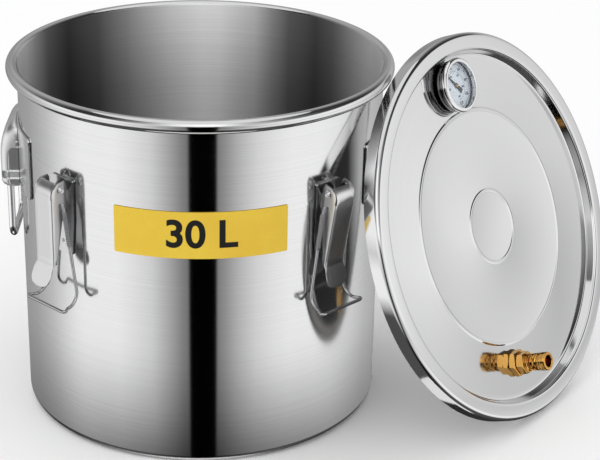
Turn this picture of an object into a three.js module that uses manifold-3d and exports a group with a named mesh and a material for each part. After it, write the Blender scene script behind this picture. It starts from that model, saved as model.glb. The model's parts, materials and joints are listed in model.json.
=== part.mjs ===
// A 30 litre stainless steel pot with four wire-bail toggle latches, two drop handles,
// and a loose dished lid that carries a dial thermometer and a brass hose fitting.
// Millimetres, +Z up. The origin is the centre of the pot's underside, and -Y is the pot's front.
// The lid stands on its edge to the right of the pot and leans on the rolled rim.

import * as THREE from 'three';
import { mergeVertices } from 'three/addons/utils/BufferGeometryUtils.js';
import Module from 'manifold-3d';

const wasm = await Module();
wasm.setup();

// ---------------------------------------------------------------- driving dimensions

const GAP = 0.3;                    // air left between pieces that touch
const DEG = Math.PI / 180;

const POT_RADIUS = 170;             // outside of the drawn wall
const POT_WALL = 1;
const POT_FILLET = 7;               // outside radius between wall and base
const RIM_CENTRE_RADIUS = 174.2;    // centre of the rolled bead
const RIM_HEIGHT = 330.1;
const RIM_BEAD_WIDTH = 5.8;         // half width of the bead, across the wall
const RIM_BEAD_DEPTH = 6.2;         // half depth of the bead, along the wall
const ROUND_SEGMENTS = 60;          // facets round the pot, the lid and the gasket

const LABEL_HEIGHT = 44;
const LABEL_BOTTOM = 206.3;
const LABEL_AZIMUTH = -87.7;
const LABEL_HALF_ANGLE = 26.4;
const LABEL_THICKNESS = 0.5;

const LID_RADIUS = 186.3;
const LID_SHEET = 1;
const LID_SKIRT = 15.5;             // how far the skirt reaches below the lid's crown
const LID_STEP_RADIUS = 170;        // top edge of the step down to the panel
const LID_STEP_DEPTH = 9.6;
const LID_BEADS = [113, 34.8];      // radii of the two raised circles in the panel
const LID_BEAD_HEIGHT = 0.7;
const LID_TILT = 21.84;             // the lid's face looks this far above the horizon
const LID_AZIMUTH = -37.28;         // and this way round from +X
const LID_PLACE = [285.8, -24.0];   // the lid's centre, seen from above

const GAUGE_PLACE = [-6, 140.4];    // from the lid's centre: along the face, up the face
const GAUGE_BEZEL_RADIUS = 26;
const GAUGE_CASE_RADIUS = 24.4;
const GAUGE_HEIGHT = 14.5;          // bezel's front above the panel
const GAUGE_PROBE_REACH = 47;       // probe's tip below the panel
const GAUGE_POINTER_ANGLE = 131.8;  // where the pointer rests, from the face's right-hand side

const FITTING_PLACE = [-23, -132];
const FITTING_REACH = 38;           // end face above the panel
const FITTING_HEX = 19.5;           // across flats
const FITTING_THREAD_RADIUS = 8.4;
const FITTING_BORE_RADIUS = 5.6;

const LATCH_SPREAD = 43.5;          // latches stand this far round from the front and the back
const LATCH_PIVOT = [12.6, 256.7];  // out from the wall, height
const LATCH_HOLE_DROP = 13.2;       // bail hole below the pivot
const LEVER_HALF_WIDTH = 12;
const LEVER_SHEET = 1.2;
const LEVER_FACE = 23.6;            // lever's face out from the wall
const LEVER_FOLD_HEIGHT = 187;      // where the thumb tab turns outward
const LEVER_CLOSED_LEAN = 10;       // the resting lever leans this far in towards the wall
const BAIL_WIRE_RADIUS = 1.5;
const BAIL_HALF_WIDTH = 20;         // legs, where the hooked end starts
const BAIL_BAR_HALF_WIDTH = 26;     // the cross bar is wider than the legs
const BAIL_DROP = 84;               // hole to the start of the hooked end
const BAIL_HOOK_RADIUS = 13;
const BAIL_REACH = 20;              // how far the cross bar stands out from the legs
const SPRING_RADIUS = 2.3;
const SPRING_START = 6;
const SPRING_END = 40;

const HANDLE_PLATE_HALF_ANGLE = 27.3;
const HANDLE_PLATE_SHEET = 1.5;
const HANDLE_PLATE_HEIGHTS = [219, 279.5];
const HANDLE_PLATE_CORNER = 5;
const HANDLE_COVER_HALF_WIDTH = 37;
const HANDLE_COVER_SHEET = 2;
const HANDLE_COVER_HEIGHTS = [217, 280];
const HANDLE_COVER_OUT = 15.5;
const HANDLE_NOTCH_FROM = 28.8;     // notches for the ring: from this far across to the cover's end
const HANDLE_NOTCH_TOP = 228;
const HANDLE_AXIS = [7.2, 222];     // ring's hinge line: out from the wall, height
const RING_ROD_RADIUS = 3.3;
const RING_HALF_WIDTH = 33;
const RING_DROP = 58;
const RING_CORNER = 12;

// ---------------------------------------------------------------- finishes

const finish = (color, metalness, roughness) => new THREE.MeshStandardMaterial({ color, metalness, roughness });
const steel = finish(0xc9cacc, 1, 0.3);
const polishedSteel = finish(0xd6d7d9, 1, 0.15);
const wireSteel = finish(0xb4b5b7, 1, 0.25);
const brass = finish(0xb8892f, 1, 0.28);
const silicone = finish(0xe6e4de, 0, 0.6);
const yellowLabel = finish(0xe3b92b, 0, 0.45);
const glass = finish(0xe8f0f4, 0, 0.05);
const dialPaint = finish(0xdfe8ee, 0, 0.5);
const pointerPaint = finish(0x2b2d30, 0.2, 0.5);

// ---------------------------------------------------------------- solids and meshes

// A geometry's triangles with shared corners merged, flat ones dropped and faces outward.
function closedSolid(geometry) {
  const bare = geometry.index ? geometry.toNonIndexed() : geometry.clone();
  bare.deleteAttribute('normal');
  bare.deleteAttribute('uv');
  const merged = mergeVertices(bare, 1e-4);
  const corners = merged.index.array;
  const positions = Float32Array.from(merged.attributes.position.array);
  const point = (i) => new THREE.Vector3().fromArray(positions, 3 * i);
  const kept = [];
  let volume = 0;
  for (let i = 0; i < corners.length; i += 3) {
    const [a, b, c] = [corners[i], corners[i + 1], corners[i + 2]];
    if (a === b || b === c || c === a) continue;
    kept.push(a, b, c);
    volume += point(a).dot(point(b).cross(point(c)));
  }
  if (volume < 0) kept.reverse();
  return new wasm.Manifold(new wasm.Mesh({
    numProp: 3,
    vertProperties: positions,
    triVerts: Uint32Array.from(kept),
  }));
}

function meshOf(name, solid, material) {
  const { vertProperties, triVerts } = solid.getMesh();
  const geometry = new THREE.BufferGeometry();
  geometry.setAttribute('position', new THREE.BufferAttribute(Float32Array.from(vertProperties), 3));
  geometry.setIndex(new THREE.BufferAttribute(Uint32Array.from(triVerts), 1));
  geometry.computeVertexNormals();
  const mesh = new THREE.Mesh(geometry, material);
  mesh.name = name;
  return mesh;
}

// Turned about +Z. Profile points are [radius, height].
function turned(profile, segments = 32) {
  const geometry = new THREE.LatheGeometry(profile.map(([r, z]) => new THREE.Vector2(r, z)), segments);
  return closedSolid(geometry.rotateX(Math.PI / 2));
}

// A turned piece with a hole through it: the profile closes on itself.
const turnedRing = (profile, segments) => turned([...profile, profile[0]], segments);

// An outline in x and y raised along +Z from z0 to z1.
function raised(shape, z0, z1, curveSegments = 8) {
  const geometry = new THREE.ExtrudeGeometry(shape, { depth: z1 - z0, bevelEnabled: false, curveSegments });
  return closedSolid(geometry.translate(0, 0, z0));
}

const outline = (points) => new THREE.Shape(points.map(([x, y]) => new THREE.Vector2(x, y)));

// A side view in [out from the wall, height], made as thick as t0 to t1 across the latch or handle.
function acrossWall(shape, t0, t1, curveSegments = 8) {
  const geometry = new THREE.ExtrudeGeometry(shape, { depth: t1 - t0, bevelEnabled: false, curveSegments });
  const axes = new THREE.Matrix4().makeBasis(
    new THREE.Vector3(1, 0, 0),
    new THREE.Vector3(0, 0, 1),
    new THREE.Vector3(0, -1, 0),
  );
  return closedSolid(geometry.applyMatrix4(axes).translate(POT_RADIUS, -t0, 0));
}

// A front view in [across, height], pushed outward from w0 to w1 from the wall.
function outFromWall(shape, w0, w1) {
  const geometry = new THREE.ExtrudeGeometry(shape, { depth: w1 - w0, bevelEnabled: false, curveSegments: 8 });
  const axes = new THREE.Matrix4().makeBasis(
    new THREE.Vector3(0, 1, 0),
    new THREE.Vector3(0, 0, 1),
    new THREE.Vector3(1, 0, 0),
  );
  return closedSolid(geometry.applyMatrix4(axes).translate(POT_RADIUS + w0, 0, 0));
}

// A round rod along a smooth line through the points.
function rod(points, radius, steps, sides = 8) {
  const path = new THREE.CatmullRomCurve3(points.map((p) => new THREE.Vector3(...p)), false, 'centripetal');
  const section = new THREE.Shape();
  const corner = (i) => [radius * Math.cos((2 * Math.PI * i) / sides), radius * Math.sin((2 * Math.PI * i) / sides)];
  section.moveTo(...corner(0));
  for (let i = 1; i < sides; i += 1) section.lineTo(...corner(i));
  section.closePath();
  return closedSolid(new THREE.ExtrudeGeometry(section, { steps, extrudePath: path, bevelEnabled: false }));
}

// A cylinder from point a to point b.
function bar(a, b, radius, sides = 16) {
  const start = new THREE.Vector3(...a);
  const along = new THREE.Vector3(...b).sub(start);
  const geometry = new THREE.CylinderGeometry(radius, radius, along.length(), sides);
  const turn = new THREE.Quaternion().setFromUnitVectors(new THREE.Vector3(0, 1, 0), along.clone().normalize());
  geometry.applyQuaternion(turn);
  const middle = start.addScaledVector(along, 0.5);
  return closedSolid(geometry.translate(middle.x, middle.y, middle.z));
}

// Points on a stretch of circle in the plane of two axes numbered i and j of a 3-D point.
function arcPoints(centre, radius, from, to, count, axes) {
  return Array.from({ length: count }, (_, k) => {
    const angle = (from + ((to - from) * k) / (count - 1)) * DEG;
    const point = [...centre];
    point[axes[0]] += radius * Math.cos(angle);
    point[axes[1]] += radius * Math.sin(angle);
    return point;
  });
}

// A sheet that lies round the wall: an arc of a ring, from z0 to z1.
function wallSheet(innerRadius, thickness, azimuth, halfAngle, z0, z1, curveSegments) {
  const [from, to] = [(azimuth - halfAngle) * DEG, (azimuth + halfAngle) * DEG];
  const shape = new THREE.Shape();
  shape.absarc(0, 0, innerRadius + thickness, from, to, false);
  shape.absarc(0, 0, innerRadius, to, from, true);
  shape.closePath();
  return raised(shape, z0, z1, curveSegments);
}

const hexagon = (acrossFlats) => outline(Array.from({ length: 6 }, (_, i) => {
  const corner = acrossFlats / Math.sqrt(3);
  return [corner * Math.cos(i * 60 * DEG), corner * Math.sin(i * 60 * DEG)];
}));

// ---------------------------------------------------------------- pot

function potShell() {
  const innerWall = POT_RADIUS - POT_WALL;
  const innerFillet = POT_FILLET - POT_WALL;
  const beadMeets = (radius) => Math.acos((radius - RIM_CENTRE_RADIUS) / RIM_BEAD_WIDTH) / DEG;
  const bead = (angle) => [
    RIM_CENTRE_RADIUS + RIM_BEAD_WIDTH * Math.cos(angle * DEG),
    RIM_HEIGHT + RIM_BEAD_DEPTH * Math.sin(angle * DEG),
  ];
  const fillet = (radius) => (angle) => [
    POT_RADIUS - POT_FILLET + radius * Math.cos(angle * DEG),
    POT_FILLET + radius * Math.sin(angle * DEG),
  ];
  return turned([
    [0, 0],
    ...[-90, -60, -30, 0].map(fillet(POT_FILLET)),
    ...[-beadMeets(POT_RADIUS), -90, -45, 0, 45, 90, 125, beadMeets(innerWall)].map(bead),
    ...[0, -45, -90].map(fillet(innerFillet)),
    [0, POT_WALL],
  ], ROUND_SEGMENTS);
}

function potLabel() {
  return wallSheet(
    POT_RADIUS + GAP,
    LABEL_THICKNESS,
    LABEL_AZIMUTH,
    LABEL_HALF_ANGLE,
    LABEL_BOTTOM,
    LABEL_BOTTOM + LABEL_HEIGHT,
    14,
  );
}

// ---------------------------------------------------------------- drop handles
// Each handle is built on the +X side of the pot and turned into place.

function handlePlate() {
  const [low, high] = HANDLE_PLATE_HEIGHTS;
  const sheet = wallSheet(POT_RADIUS + GAP, HANDLE_PLATE_SHEET, 0, HANDLE_PLATE_HALF_ANGLE, low, high, 16);
  const halfWidth = POT_RADIUS * Math.sin(HANDLE_PLATE_HALF_ANGLE * DEG) + 1;
  const corner = HANDLE_PLATE_CORNER;
  const front = new THREE.Shape();
  front.absarc(halfWidth - corner, low + corner, corner, -90 * DEG, 0, false);
  front.absarc(halfWidth - corner, high - corner, corner, 0, 90 * DEG, false);
  front.absarc(corner - halfWidth, high - corner, corner, 90 * DEG, 180 * DEG, false);
  front.absarc(corner - halfWidth, low + corner, corner, 180 * DEG, 270 * DEG, false);
  front.closePath();
  return sheet.intersect(outFromWall(front, -40, 20));
}

// Side view of the stamped cover: a long slope at the top and a tight turn at the bottom.
function coverSideView(inset) {
  const [bottom, top, out] = [HANDLE_COVER_HEIGHTS[0], HANDLE_COVER_HEIGHTS[1] - inset, HANDLE_COVER_OUT - inset];
  const shape = new THREE.Shape();
  shape.moveTo(-20, top);
  shape.lineTo(2, top);
  shape.quadraticCurveTo(out, top - 4, out, top - 34);
  shape.lineTo(out, bottom + 10);
  shape.quadraticCurveTo(out, bottom, out - 5, inset > 0 ? bottom - 12 : bottom);
  shape.lineTo(-20, inset > 0 ? bottom - 12 : bottom);
  shape.closePath();
  return shape;
}

// Front view of the cover: its top falls away towards both ends.
function coverFrontView(inset) {
  const [low, top, half] = [HANDLE_COVER_HEIGHTS[0] - 20, HANDLE_COVER_HEIGHTS[1] - inset, HANDLE_COVER_HALF_WIDTH - inset];
  const shape = new THREE.Shape();
  shape.moveTo(-half, low);
  shape.lineTo(half, low);
  shape.lineTo(half, top - 18);
  shape.quadraticCurveTo(half, top, half - 24, top);
  shape.lineTo(24 - half, top);
  shape.quadraticCurveTo(-half, top, -half, top - 18);
  shape.closePath();
  return shape;
}

function handleCover() {
  const half = HANDLE_COVER_HALF_WIDTH;
  const coverSolid = (inset) => acrossWall(coverSideView(inset), inset - half, half - inset)
    .intersect(outFromWall(coverFrontView(inset), -40, 40));
  const plateFace = POT_RADIUS + GAP + HANDLE_PLATE_SHEET + GAP;
  const wall = closedSolid(new THREE.CylinderGeometry(plateFace, plateFace, 140, 96)
    .rotateX(Math.PI / 2)
    .translate(0, 0, 250));
  const notch = outline([[-20, 200], [30, 200], [30, HANDLE_NOTCH_TOP], [-20, HANDLE_NOTCH_TOP]]);
  return coverSolid(0)
    .subtract(coverSolid(HANDLE_COVER_SHEET))
    .subtract(wall)
    .subtract(acrossWall(notch, HANDLE_NOTCH_FROM, half + 3))
    .subtract(acrossWall(notch, -half - 3, -HANDLE_NOTCH_FROM));
}

// The ring: a bent rod whose two ends are welded to the straight bar inside the cover.
function handleRing() {
  const [axisOut, axisHeight] = HANDLE_AXIS;
  const x = POT_RADIUS + axisOut;
  const low = axisHeight - RING_DROP + RING_CORNER;
  const turnRadius = 6;
  const side = RING_HALF_WIDTH - turnRadius;
  const inner = RING_HALF_WIDTH - RING_CORNER;
  const half = [
    [x, side - 1, axisHeight],
    ...arcPoints([x, side, axisHeight - turnRadius], turnRadius, 90, 0, 4, [1, 2]),
    [x, RING_HALF_WIDTH, (axisHeight + low) / 2],
    ...arcPoints([x, inner, low], RING_CORNER, 0, -90, 6, [1, 2]),
  ];
  const mirrored = half.map(([px, y, z]) => [px, -y, z]).reverse();
  const bent = rod([...half, [x, 0, low - RING_CORNER], ...mirrored], RING_ROD_RADIUS, 30, 8);
  return bent.add(bar([x, -side, axisHeight], [x, side, axisHeight], RING_ROD_RADIUS, 12));
}

function handle(side, azimuth) {
  const group = new THREE.Group();
  group.rotation.z = azimuth * DEG;
  group.add(meshOf(`handle_plate_${side}`, handlePlate(), steel));
  group.add(meshOf(`handle_cover_${side}`, handleCover(), polishedSteel));
  group.add(meshOf(`handle_ring_${side}`, handleRing(), polishedSteel));
  return group;
}

// ---------------------------------------------------------------- toggle latches
// Each latch is built on the +X side of the pot and turned into place.

function latchBracket() {
  const [pivotOut, pivotHeight] = LATCH_PIVOT;
  const front = outline([[-15, 263], [-15, 226], [-12, 190], [12, 190], [15, 226], [15, 263]]);
  const plate = wallSheet(POT_RADIUS + GAP, 1.5, 0, 5.6, 190, 263, 4).intersect(outFromWall(front, -10, 10));
  const ear = new THREE.Shape();
  const earRound = 5.2;
  ear.moveTo(1, 252);
  ear.absarc(pivotOut, pivotHeight, earRound, 165 * DEG, -70 * DEG, true);
  ear.lineTo(5.5, 246);
  ear.lineTo(1, 238);
  ear.closePath();
  const pinHole = bar([POT_RADIUS + pivotOut, -20, pivotHeight], [POT_RADIUS + pivotOut, 20, pivotHeight], 2.5, 10);
  return [-10.2, 8.7]
    .map((t) => acrossWall(ear, t, t + 1.5, 7))
    .reduce((bracket, side) => bracket.add(side), plate)
    .subtract(pinHole);
}

// A rivet through both lever cheeks and both ears, with a flat head on each side.
function latchPin() {
  const [pivotOut, pivotHeight] = LATCH_PIVOT;
  const head = LEVER_HALF_WIDTH + GAP;
  const profile = [
    [0, -head - 1.2], [2.6, -head - 1.2], [3.4, -head], [2.1, -head],
    [2.1, head], [3.4, head], [2.6, head + 1.2], [0, head + 1.2],
  ];
  const geometry = new THREE.LatheGeometry(profile.map(([r, t]) => new THREE.Vector2(r, t)), 12);
  return closedSolid(geometry.translate(POT_RADIUS + pivotOut, 0, pivotHeight));
}

function latchLever() {
  const [pivotOut, pivotHeight] = LATCH_PIVOT;
  const holeHeight = pivotHeight - LATCH_HOLE_DROP;
  const face = LEVER_FACE;
  const inside = face - LEVER_SHEET;

  const sheet = new THREE.Shape();
  sheet.moveTo(face, LEVER_FOLD_HEIGHT);
  sheet.lineTo(face, 250);
  sheet.quadraticCurveTo(face, 258, 16, 263.4);
  sheet.lineTo(15.3, 262.4);
  sheet.quadraticCurveTo(inside, 257.5, inside, 250);
  sheet.lineTo(inside, LEVER_FOLD_HEIGHT);
  sheet.closePath();
  const channelFace = acrossWall(sheet, -LEVER_HALF_WIDTH, LEVER_HALF_WIDTH, 4);

  const cheek = new THREE.Shape();
  cheek.moveTo(face - 0.5, LEVER_FOLD_HEIGHT);
  cheek.lineTo(face - 0.5, 250);
  cheek.quadraticCurveTo(face - 0.6, 257.6, 15.8, 262.8);
  cheek.lineTo(8, 264);
  cheek.quadraticCurveTo(6, 264, 6, 261);
  cheek.lineTo(6.4, 240);
  cheek.quadraticCurveTo(8, 236, 10.5, 234);
  cheek.lineTo(face - 4, LEVER_FOLD_HEIGHT);
  cheek.closePath();
  const cheeks = [-LEVER_HALF_WIDTH, LEVER_HALF_WIDTH - LEVER_SHEET]
    .map((t) => acrossWall(cheek, t, t + LEVER_SHEET, 3));

  const tab = new THREE.Shape();
  const tabLength = 22;
  tab.moveTo(-LEVER_HALF_WIDTH, 1);
  tab.lineTo(-LEVER_HALF_WIDTH, -9);
  tab.quadraticCurveTo(-LEVER_HALF_WIDTH, -tabLength, 0, -tabLength);
  tab.quadraticCurveTo(LEVER_HALF_WIDTH, -tabLength, LEVER_HALF_WIDTH, -9);
  tab.lineTo(LEVER_HALF_WIDTH, 1);
  tab.closePath();
  const flare = new THREE.Matrix4()
    .makeTranslation(POT_RADIUS + face - LEVER_SHEET, 0, LEVER_FOLD_HEIGHT)
    .multiply(new THREE.Matrix4().makeRotationY(-24 * DEG))
    .multiply(new THREE.Matrix4().makeBasis(
      new THREE.Vector3(0, 1, 0),
      new THREE.Vector3(0, 0, 1),
      new THREE.Vector3(1, 0, 0),
    ));
  const thumbTab = closedSolid(new THREE.ExtrudeGeometry(tab, {
    depth: LEVER_SHEET,
    bevelEnabled: false,
    curveSegments: 4,
  }).applyMatrix4(flare));

  const across = (height, radius) => bar(
    [POT_RADIUS + pivotOut, -20, height],
    [POT_RADIUS + pivotOut, 20, height],
    radius,
    10,
  );
  return [...cheeks, thumbTab]
    .reduce((lever, piece) => lever.add(piece), channelFace)
    .subtract(across(pivotHeight, 2.5))
    .subtract(across(holeHeight, 1.9));
}

// Where a leg of the bail runs, measured from the bail hole: across for the height below the hole.
const legAcross = (drop) => 14.8 + ((BAIL_HALF_WIDTH - 14.8) * drop) / BAIL_DROP;
const legOut = (drop) => -0.09 * drop;

// One coil spring, drawn as its outer shape, with the hook that goes through the lever's cheek.
function bailSpring(side) {
  const x = POT_RADIUS + LATCH_PIVOT[0];
  const hole = LATCH_PIVOT[1] - LATCH_HOLE_DROP;
  const hook = rod([
    [x, side * 9.6, hole],
    [x, side * 13, hole],
    [x, side * legAcross(2), hole - 1.6],
    [x + legOut(6), side * legAcross(6), hole - 4],
    [x + legOut(9), side * legAcross(9), hole - 9],
  ], 1.1, 7, 6);
  const coil = bar(
    [x + legOut(SPRING_START), side * legAcross(SPRING_START), hole - SPRING_START],
    [x + legOut(SPRING_END), side * legAcross(SPRING_END), hole - SPRING_END],
    SPRING_RADIUS,
    8,
  );
  return hook.add(coil);
}

// The bail: two legs that spread downward, turn outward, and meet in a wider cross bar.
function bailWire() {
  const x = POT_RADIUS + LATCH_PIVOT[0];
  const hole = LATCH_PIVOT[1] - LATCH_HOLE_DROP;
  const legX = x + legOut(BAIL_DROP);
  const hookZ = hole - BAIL_DROP;
  const legTop = SPRING_END + 0.4;
  const barZ = hookZ - BAIL_HOOK_RADIUS;
  const spread = (point, i) => [point[0], BAIL_HALF_WIDTH + 0.5 * i, point[2]];
  const half = [
    [x + legOut(legTop), legAcross(legTop), hole - legTop],
    [x + legOut(60), legAcross(60), hole - 60],
    ...arcPoints([legX + BAIL_HOOK_RADIUS, BAIL_HALF_WIDTH, hookZ], BAIL_HOOK_RADIUS, 180, 270, 5, [0, 2]).map(spread),
    [legX + BAIL_REACH - 2, BAIL_BAR_HALF_WIDTH - 0.8, barZ],
    [legX + BAIL_REACH, BAIL_BAR_HALF_WIDTH - 4, barZ],
  ];
  const middle = [legX + BAIL_REACH, 0, barZ];
  const mirrored = half.map(([px, y, z]) => [px, -y, z]).reverse();
  return rod([...half, middle, ...mirrored], BAIL_WIRE_RADIUS, 36, 6);
}

function latch(corner, azimuth, lean) {
  const [pivotOut, pivotHeight] = LATCH_PIVOT;
  const group = new THREE.Group();
  group.rotation.z = azimuth * DEG;
  group.add(meshOf(`latch_bracket_${corner}`, latchBracket(), steel));
  group.add(meshOf(`latch_pin_${corner}`, latchPin(), polishedSteel));

  // The lever leans in about its pivot, and the bail hangs straight down from the lever's holes.
  const lever = meshOf(`latch_lever_${corner}`, latchLever(), polishedSteel);
  const leaning = new THREE.Group();
  leaning.position.set(POT_RADIUS + pivotOut, 0, pivotHeight);
  leaning.rotation.y = lean * DEG;
  lever.position.set(-POT_RADIUS - pivotOut, 0, -pivotHeight);
  leaning.add(lever);
  group.add(leaning);

  const hanging = new THREE.Group();
  hanging.position.set(
    -LATCH_HOLE_DROP * Math.sin(lean * DEG),
    0,
    LATCH_HOLE_DROP * (1 - Math.cos(lean * DEG)),
  );
  hanging.add(meshOf(`bail_wire_${corner}`, bailWire(), wireSteel));
  hanging.add(meshOf(`bail_spring_a_${corner}`, bailSpring(-1), wireSteel));
  hanging.add(meshOf(`bail_spring_b_${corner}`, bailSpring(1), wireSteel));
  group.add(hanging);
  return group;
}

// ---------------------------------------------------------------- lid
// Built in the lid's own frame: the outer face looks along +Z, and z = 0 is its crown.

const PANEL = -LID_STEP_DEPTH;
const PANEL_BACK = PANEL - LID_SHEET;

function lidProfile() {
  const corner = 5;
  const outer = (radius, angle) => [
    LID_RADIUS - corner + radius * Math.cos(angle * DEG),
    -corner + radius * Math.sin(angle * DEG),
  ];
  const beads = LID_BEADS.flatMap((radius) => [
    [radius + 2.6, PANEL],
    [radius, PANEL + LID_BEAD_HEIGHT],
    [radius - 2.6, PANEL],
  ]);
  const face = [
    [LID_RADIUS, -LID_SKIRT],
    ...[0, 30, 60, 90].map((angle) => outer(corner, angle)),
    [LID_STEP_RADIUS + 1.5, 0],
    [LID_STEP_RADIUS - 0.2, -1.2],
    [LID_STEP_RADIUS - 2.8, PANEL + 2],
    [LID_STEP_RADIUS - 5, PANEL],
    ...beads,
    [0, PANEL],
  ];
  const back = [
    [0, PANEL_BACK],
    [LID_STEP_RADIUS - 4.5, PANEL_BACK],
    [LID_STEP_RADIUS - 2, PANEL + 1.4],
    [LID_STEP_RADIUS + 1, -1.8],
    [LID_STEP_RADIUS + 2, -LID_SHEET],
    ...[90, 60, 30, 0].map((angle) => outer(corner - LID_SHEET, angle)),
    [LID_RADIUS - LID_SHEET, -LID_SKIRT],
  ];
  return [...face, ...back, face[0]];
}

function lidPan() {
  const hole = ([x, y], radius) => closedSolid(new THREE.CylinderGeometry(radius, radius, 8, 24)
    .rotateX(Math.PI / 2)
    .translate(x, y, PANEL));
  return turned(lidProfile(), ROUND_SEGMENTS)
    .subtract(hole(GAUGE_PLACE, 6.6))
    .subtract(hole(FITTING_PLACE, FITTING_THREAD_RADIUS + 0.5));
}

function lidGasket() {
  const top = -LID_SHEET - GAP;
  return turnedRing([[173.5, top], [173.5, top - 3], [184, top - 3], [184, top - 1.5], [181.5, top]], ROUND_SEGMENTS);
}

// ---------------------------------------------------------------- brass hose fitting
// Heights are above the lid's panel.

function fittingBody() {
  const thread = FITTING_THREAD_RADIUS;
  const threadEnd = FITTING_REACH - 8;
  const ridges = Array.from({ length: 5 }, (_, i) => 16 + i * 2.8)
    .flatMap((z) => [[thread, z], [thread, z + 1.2], [thread - 0.9, z + 1.6], [thread - 0.9, z + 2.4]]);
  const stem = turned([
    [0, -13.5],
    [thread - 1.2, -13.5],
    [thread, -12.3],
    [thread, 15.5],
    ...ridges,
    [thread - 0.9, threadEnd],
    [thread + 0.5, threadEnd + 0.4],
    [thread + 0.5, FITTING_REACH - 1],
    [thread - 0.5, FITTING_REACH],
    [0, FITTING_REACH],
  ], 18);
  const hex = raised(hexagon(FITTING_HEX), 7.1, 15);
  const bore = turned([
    [0, -20], [4, -20], [4, 24], [FITTING_BORE_RADIUS, 30], [FITTING_BORE_RADIUS, 60], [0, 60],
  ], 18);
  return stem.add(hex).subtract(bore);
}

function threadedNut(acrossFlats, holeRadius, z0, z1) {
  const hole = turned([[0, z0 - 5], [holeRadius, z0 - 5], [holeRadius, z1 + 5], [0, z1 + 5]], 24);
  return raised(hexagon(acrossFlats), z0, z1).subtract(hole);
}

const washer = (inner, outer, z0, z1) => turnedRing([[inner, z0], [outer, z0], [outer, z1], [inner, z1]], 24);

function fitting() {
  const group = new THREE.Group();
  const under = -LID_SHEET;
  const clear = FITTING_THREAD_RADIUS + GAP;
  group.position.set(...FITTING_PLACE, PANEL);
  group.add(meshOf('fitting_body', fittingBody(), brass));
  group.add(meshOf('fitting_lock_nut', threadedNut(23, clear, GAP, 6.8), brass));
  group.add(meshOf('fitting_seal', washer(clear, 13, under - 2.3, under - GAP), silicone));
  group.add(meshOf('fitting_back_nut', threadedNut(23, clear, under - 8.6, under - 2.6), brass));
  return group;
}

// ---------------------------------------------------------------- dial thermometer
// Heights are above the lid's panel.

function gauge() {
  const group = new THREE.Group();
  const under = -LID_SHEET;
  const [bezel, body, top] = [GAUGE_BEZEL_RADIUS, GAUGE_CASE_RADIUS, GAUGE_HEIGHT];
  const caseFront = top - 5.4;
  group.position.set(...GAUGE_PLACE, PANEL);

  const cup = turned([
    [0, 2], [body - 3, 2], [body, 4.5], [body, caseFront], [body - 1.2, caseFront], [body - 1.2, 4], [0, 4],
  ], 32);
  group.add(meshOf('gauge_case', cup, polishedSteel));

  group.add(meshOf('gauge_bezel', turnedRing([
    [bezel - 1.4, caseFront + GAP], [bezel, caseFront + 1.6], [bezel, top - 1.6], [bezel - 1.6, top],
    [bezel - 4.2, top], [bezel - 4.2, top - 1], [bezel - 3, top - 1.2], [bezel - 3, caseFront + GAP],
  ], 32), polishedSteel));

  const lensRadius = bezel - 3 - GAP;
  group.add(meshOf('gauge_lens', turned([
    [0, top - 3], [lensRadius, top - 3], [lensRadius, top - 1.5], [0, top - 1.5],
  ], 32), glass));

  const dialRadius = body - 1.2 - GAP;
  const hubHole = 1.6;
  group.add(meshOf('gauge_dial', turnedRing([
    [hubHole, 6.2], [dialRadius, 6.2], [dialRadius, 7.2], [hubHole, 7.2],
  ], 32), dialPaint));

  const needle = new THREE.Shape();
  needle.moveTo(19, 0);
  needle.lineTo(2, 1.3);
  needle.absarc(0, 0, 2.6, 30 * DEG, 160 * DEG, false);
  needle.lineTo(-9.1, 2.4);
  needle.lineTo(-9.1, -2.4);
  needle.absarc(0, 0, 2.6, 200 * DEG, 330 * DEG, false);
  needle.lineTo(2, -1.3);
  needle.closePath();
  const spindle = turned([[0, 5], [1.2, 5], [1.2, 9], [0, 9]], 12);
  const pointer = meshOf('gauge_pointer', raised(needle, 7.8, 8.6, 4).add(spindle), pointerPaint);
  pointer.rotation.z = GAUGE_POINTER_ANGLE * DEG;
  group.add(pointer);

  const hub = raised(hexagon(11), 1.4, 2 - GAP);
  const stem = turned([
    [0, -GAUGE_PROBE_REACH], [2.4, -GAUGE_PROBE_REACH], [3, 1 - GAUGE_PROBE_REACH], [3, -11],
    [6, -11], [6, 1.6], [0, 1.6],
  ], 24);
  group.add(meshOf('gauge_stem', stem.add(hub), polishedSteel));

  group.add(meshOf('gauge_seal', washer(6 + GAP, 11, GAP, 1.1), silicone));
  group.add(meshOf('gauge_back_nut', threadedNut(17, 6 + GAP, under - 6, under - GAP), brass));
  return group;
}

function lid() {
  const group = new THREE.Group();
  const [azimuth, tilt] = [LID_AZIMUTH * DEG, LID_TILT * DEG];
  const across = new THREE.Vector3(-Math.sin(azimuth), Math.cos(azimuth), 0);
  const normal = new THREE.Vector3(
    Math.cos(tilt) * Math.cos(azimuth),
    Math.cos(tilt) * Math.sin(azimuth),
    Math.sin(tilt),
  );
  const up = new THREE.Vector3().crossVectors(normal, across);
  const height = LID_RADIUS * Math.cos(tilt) + LID_SKIRT * Math.sin(tilt);
  group.applyMatrix4(new THREE.Matrix4().makeBasis(across, up, normal));
  group.position.set(...LID_PLACE, height);
  group.add(meshOf('lid_pan', lidPan(), polishedSteel));
  group.add(meshOf('lid_gasket', lidGasket(), silicone));
  group.add(fitting());
  group.add(gauge());
  return group;
}

// ---------------------------------------------------------------- the whole object

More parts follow.
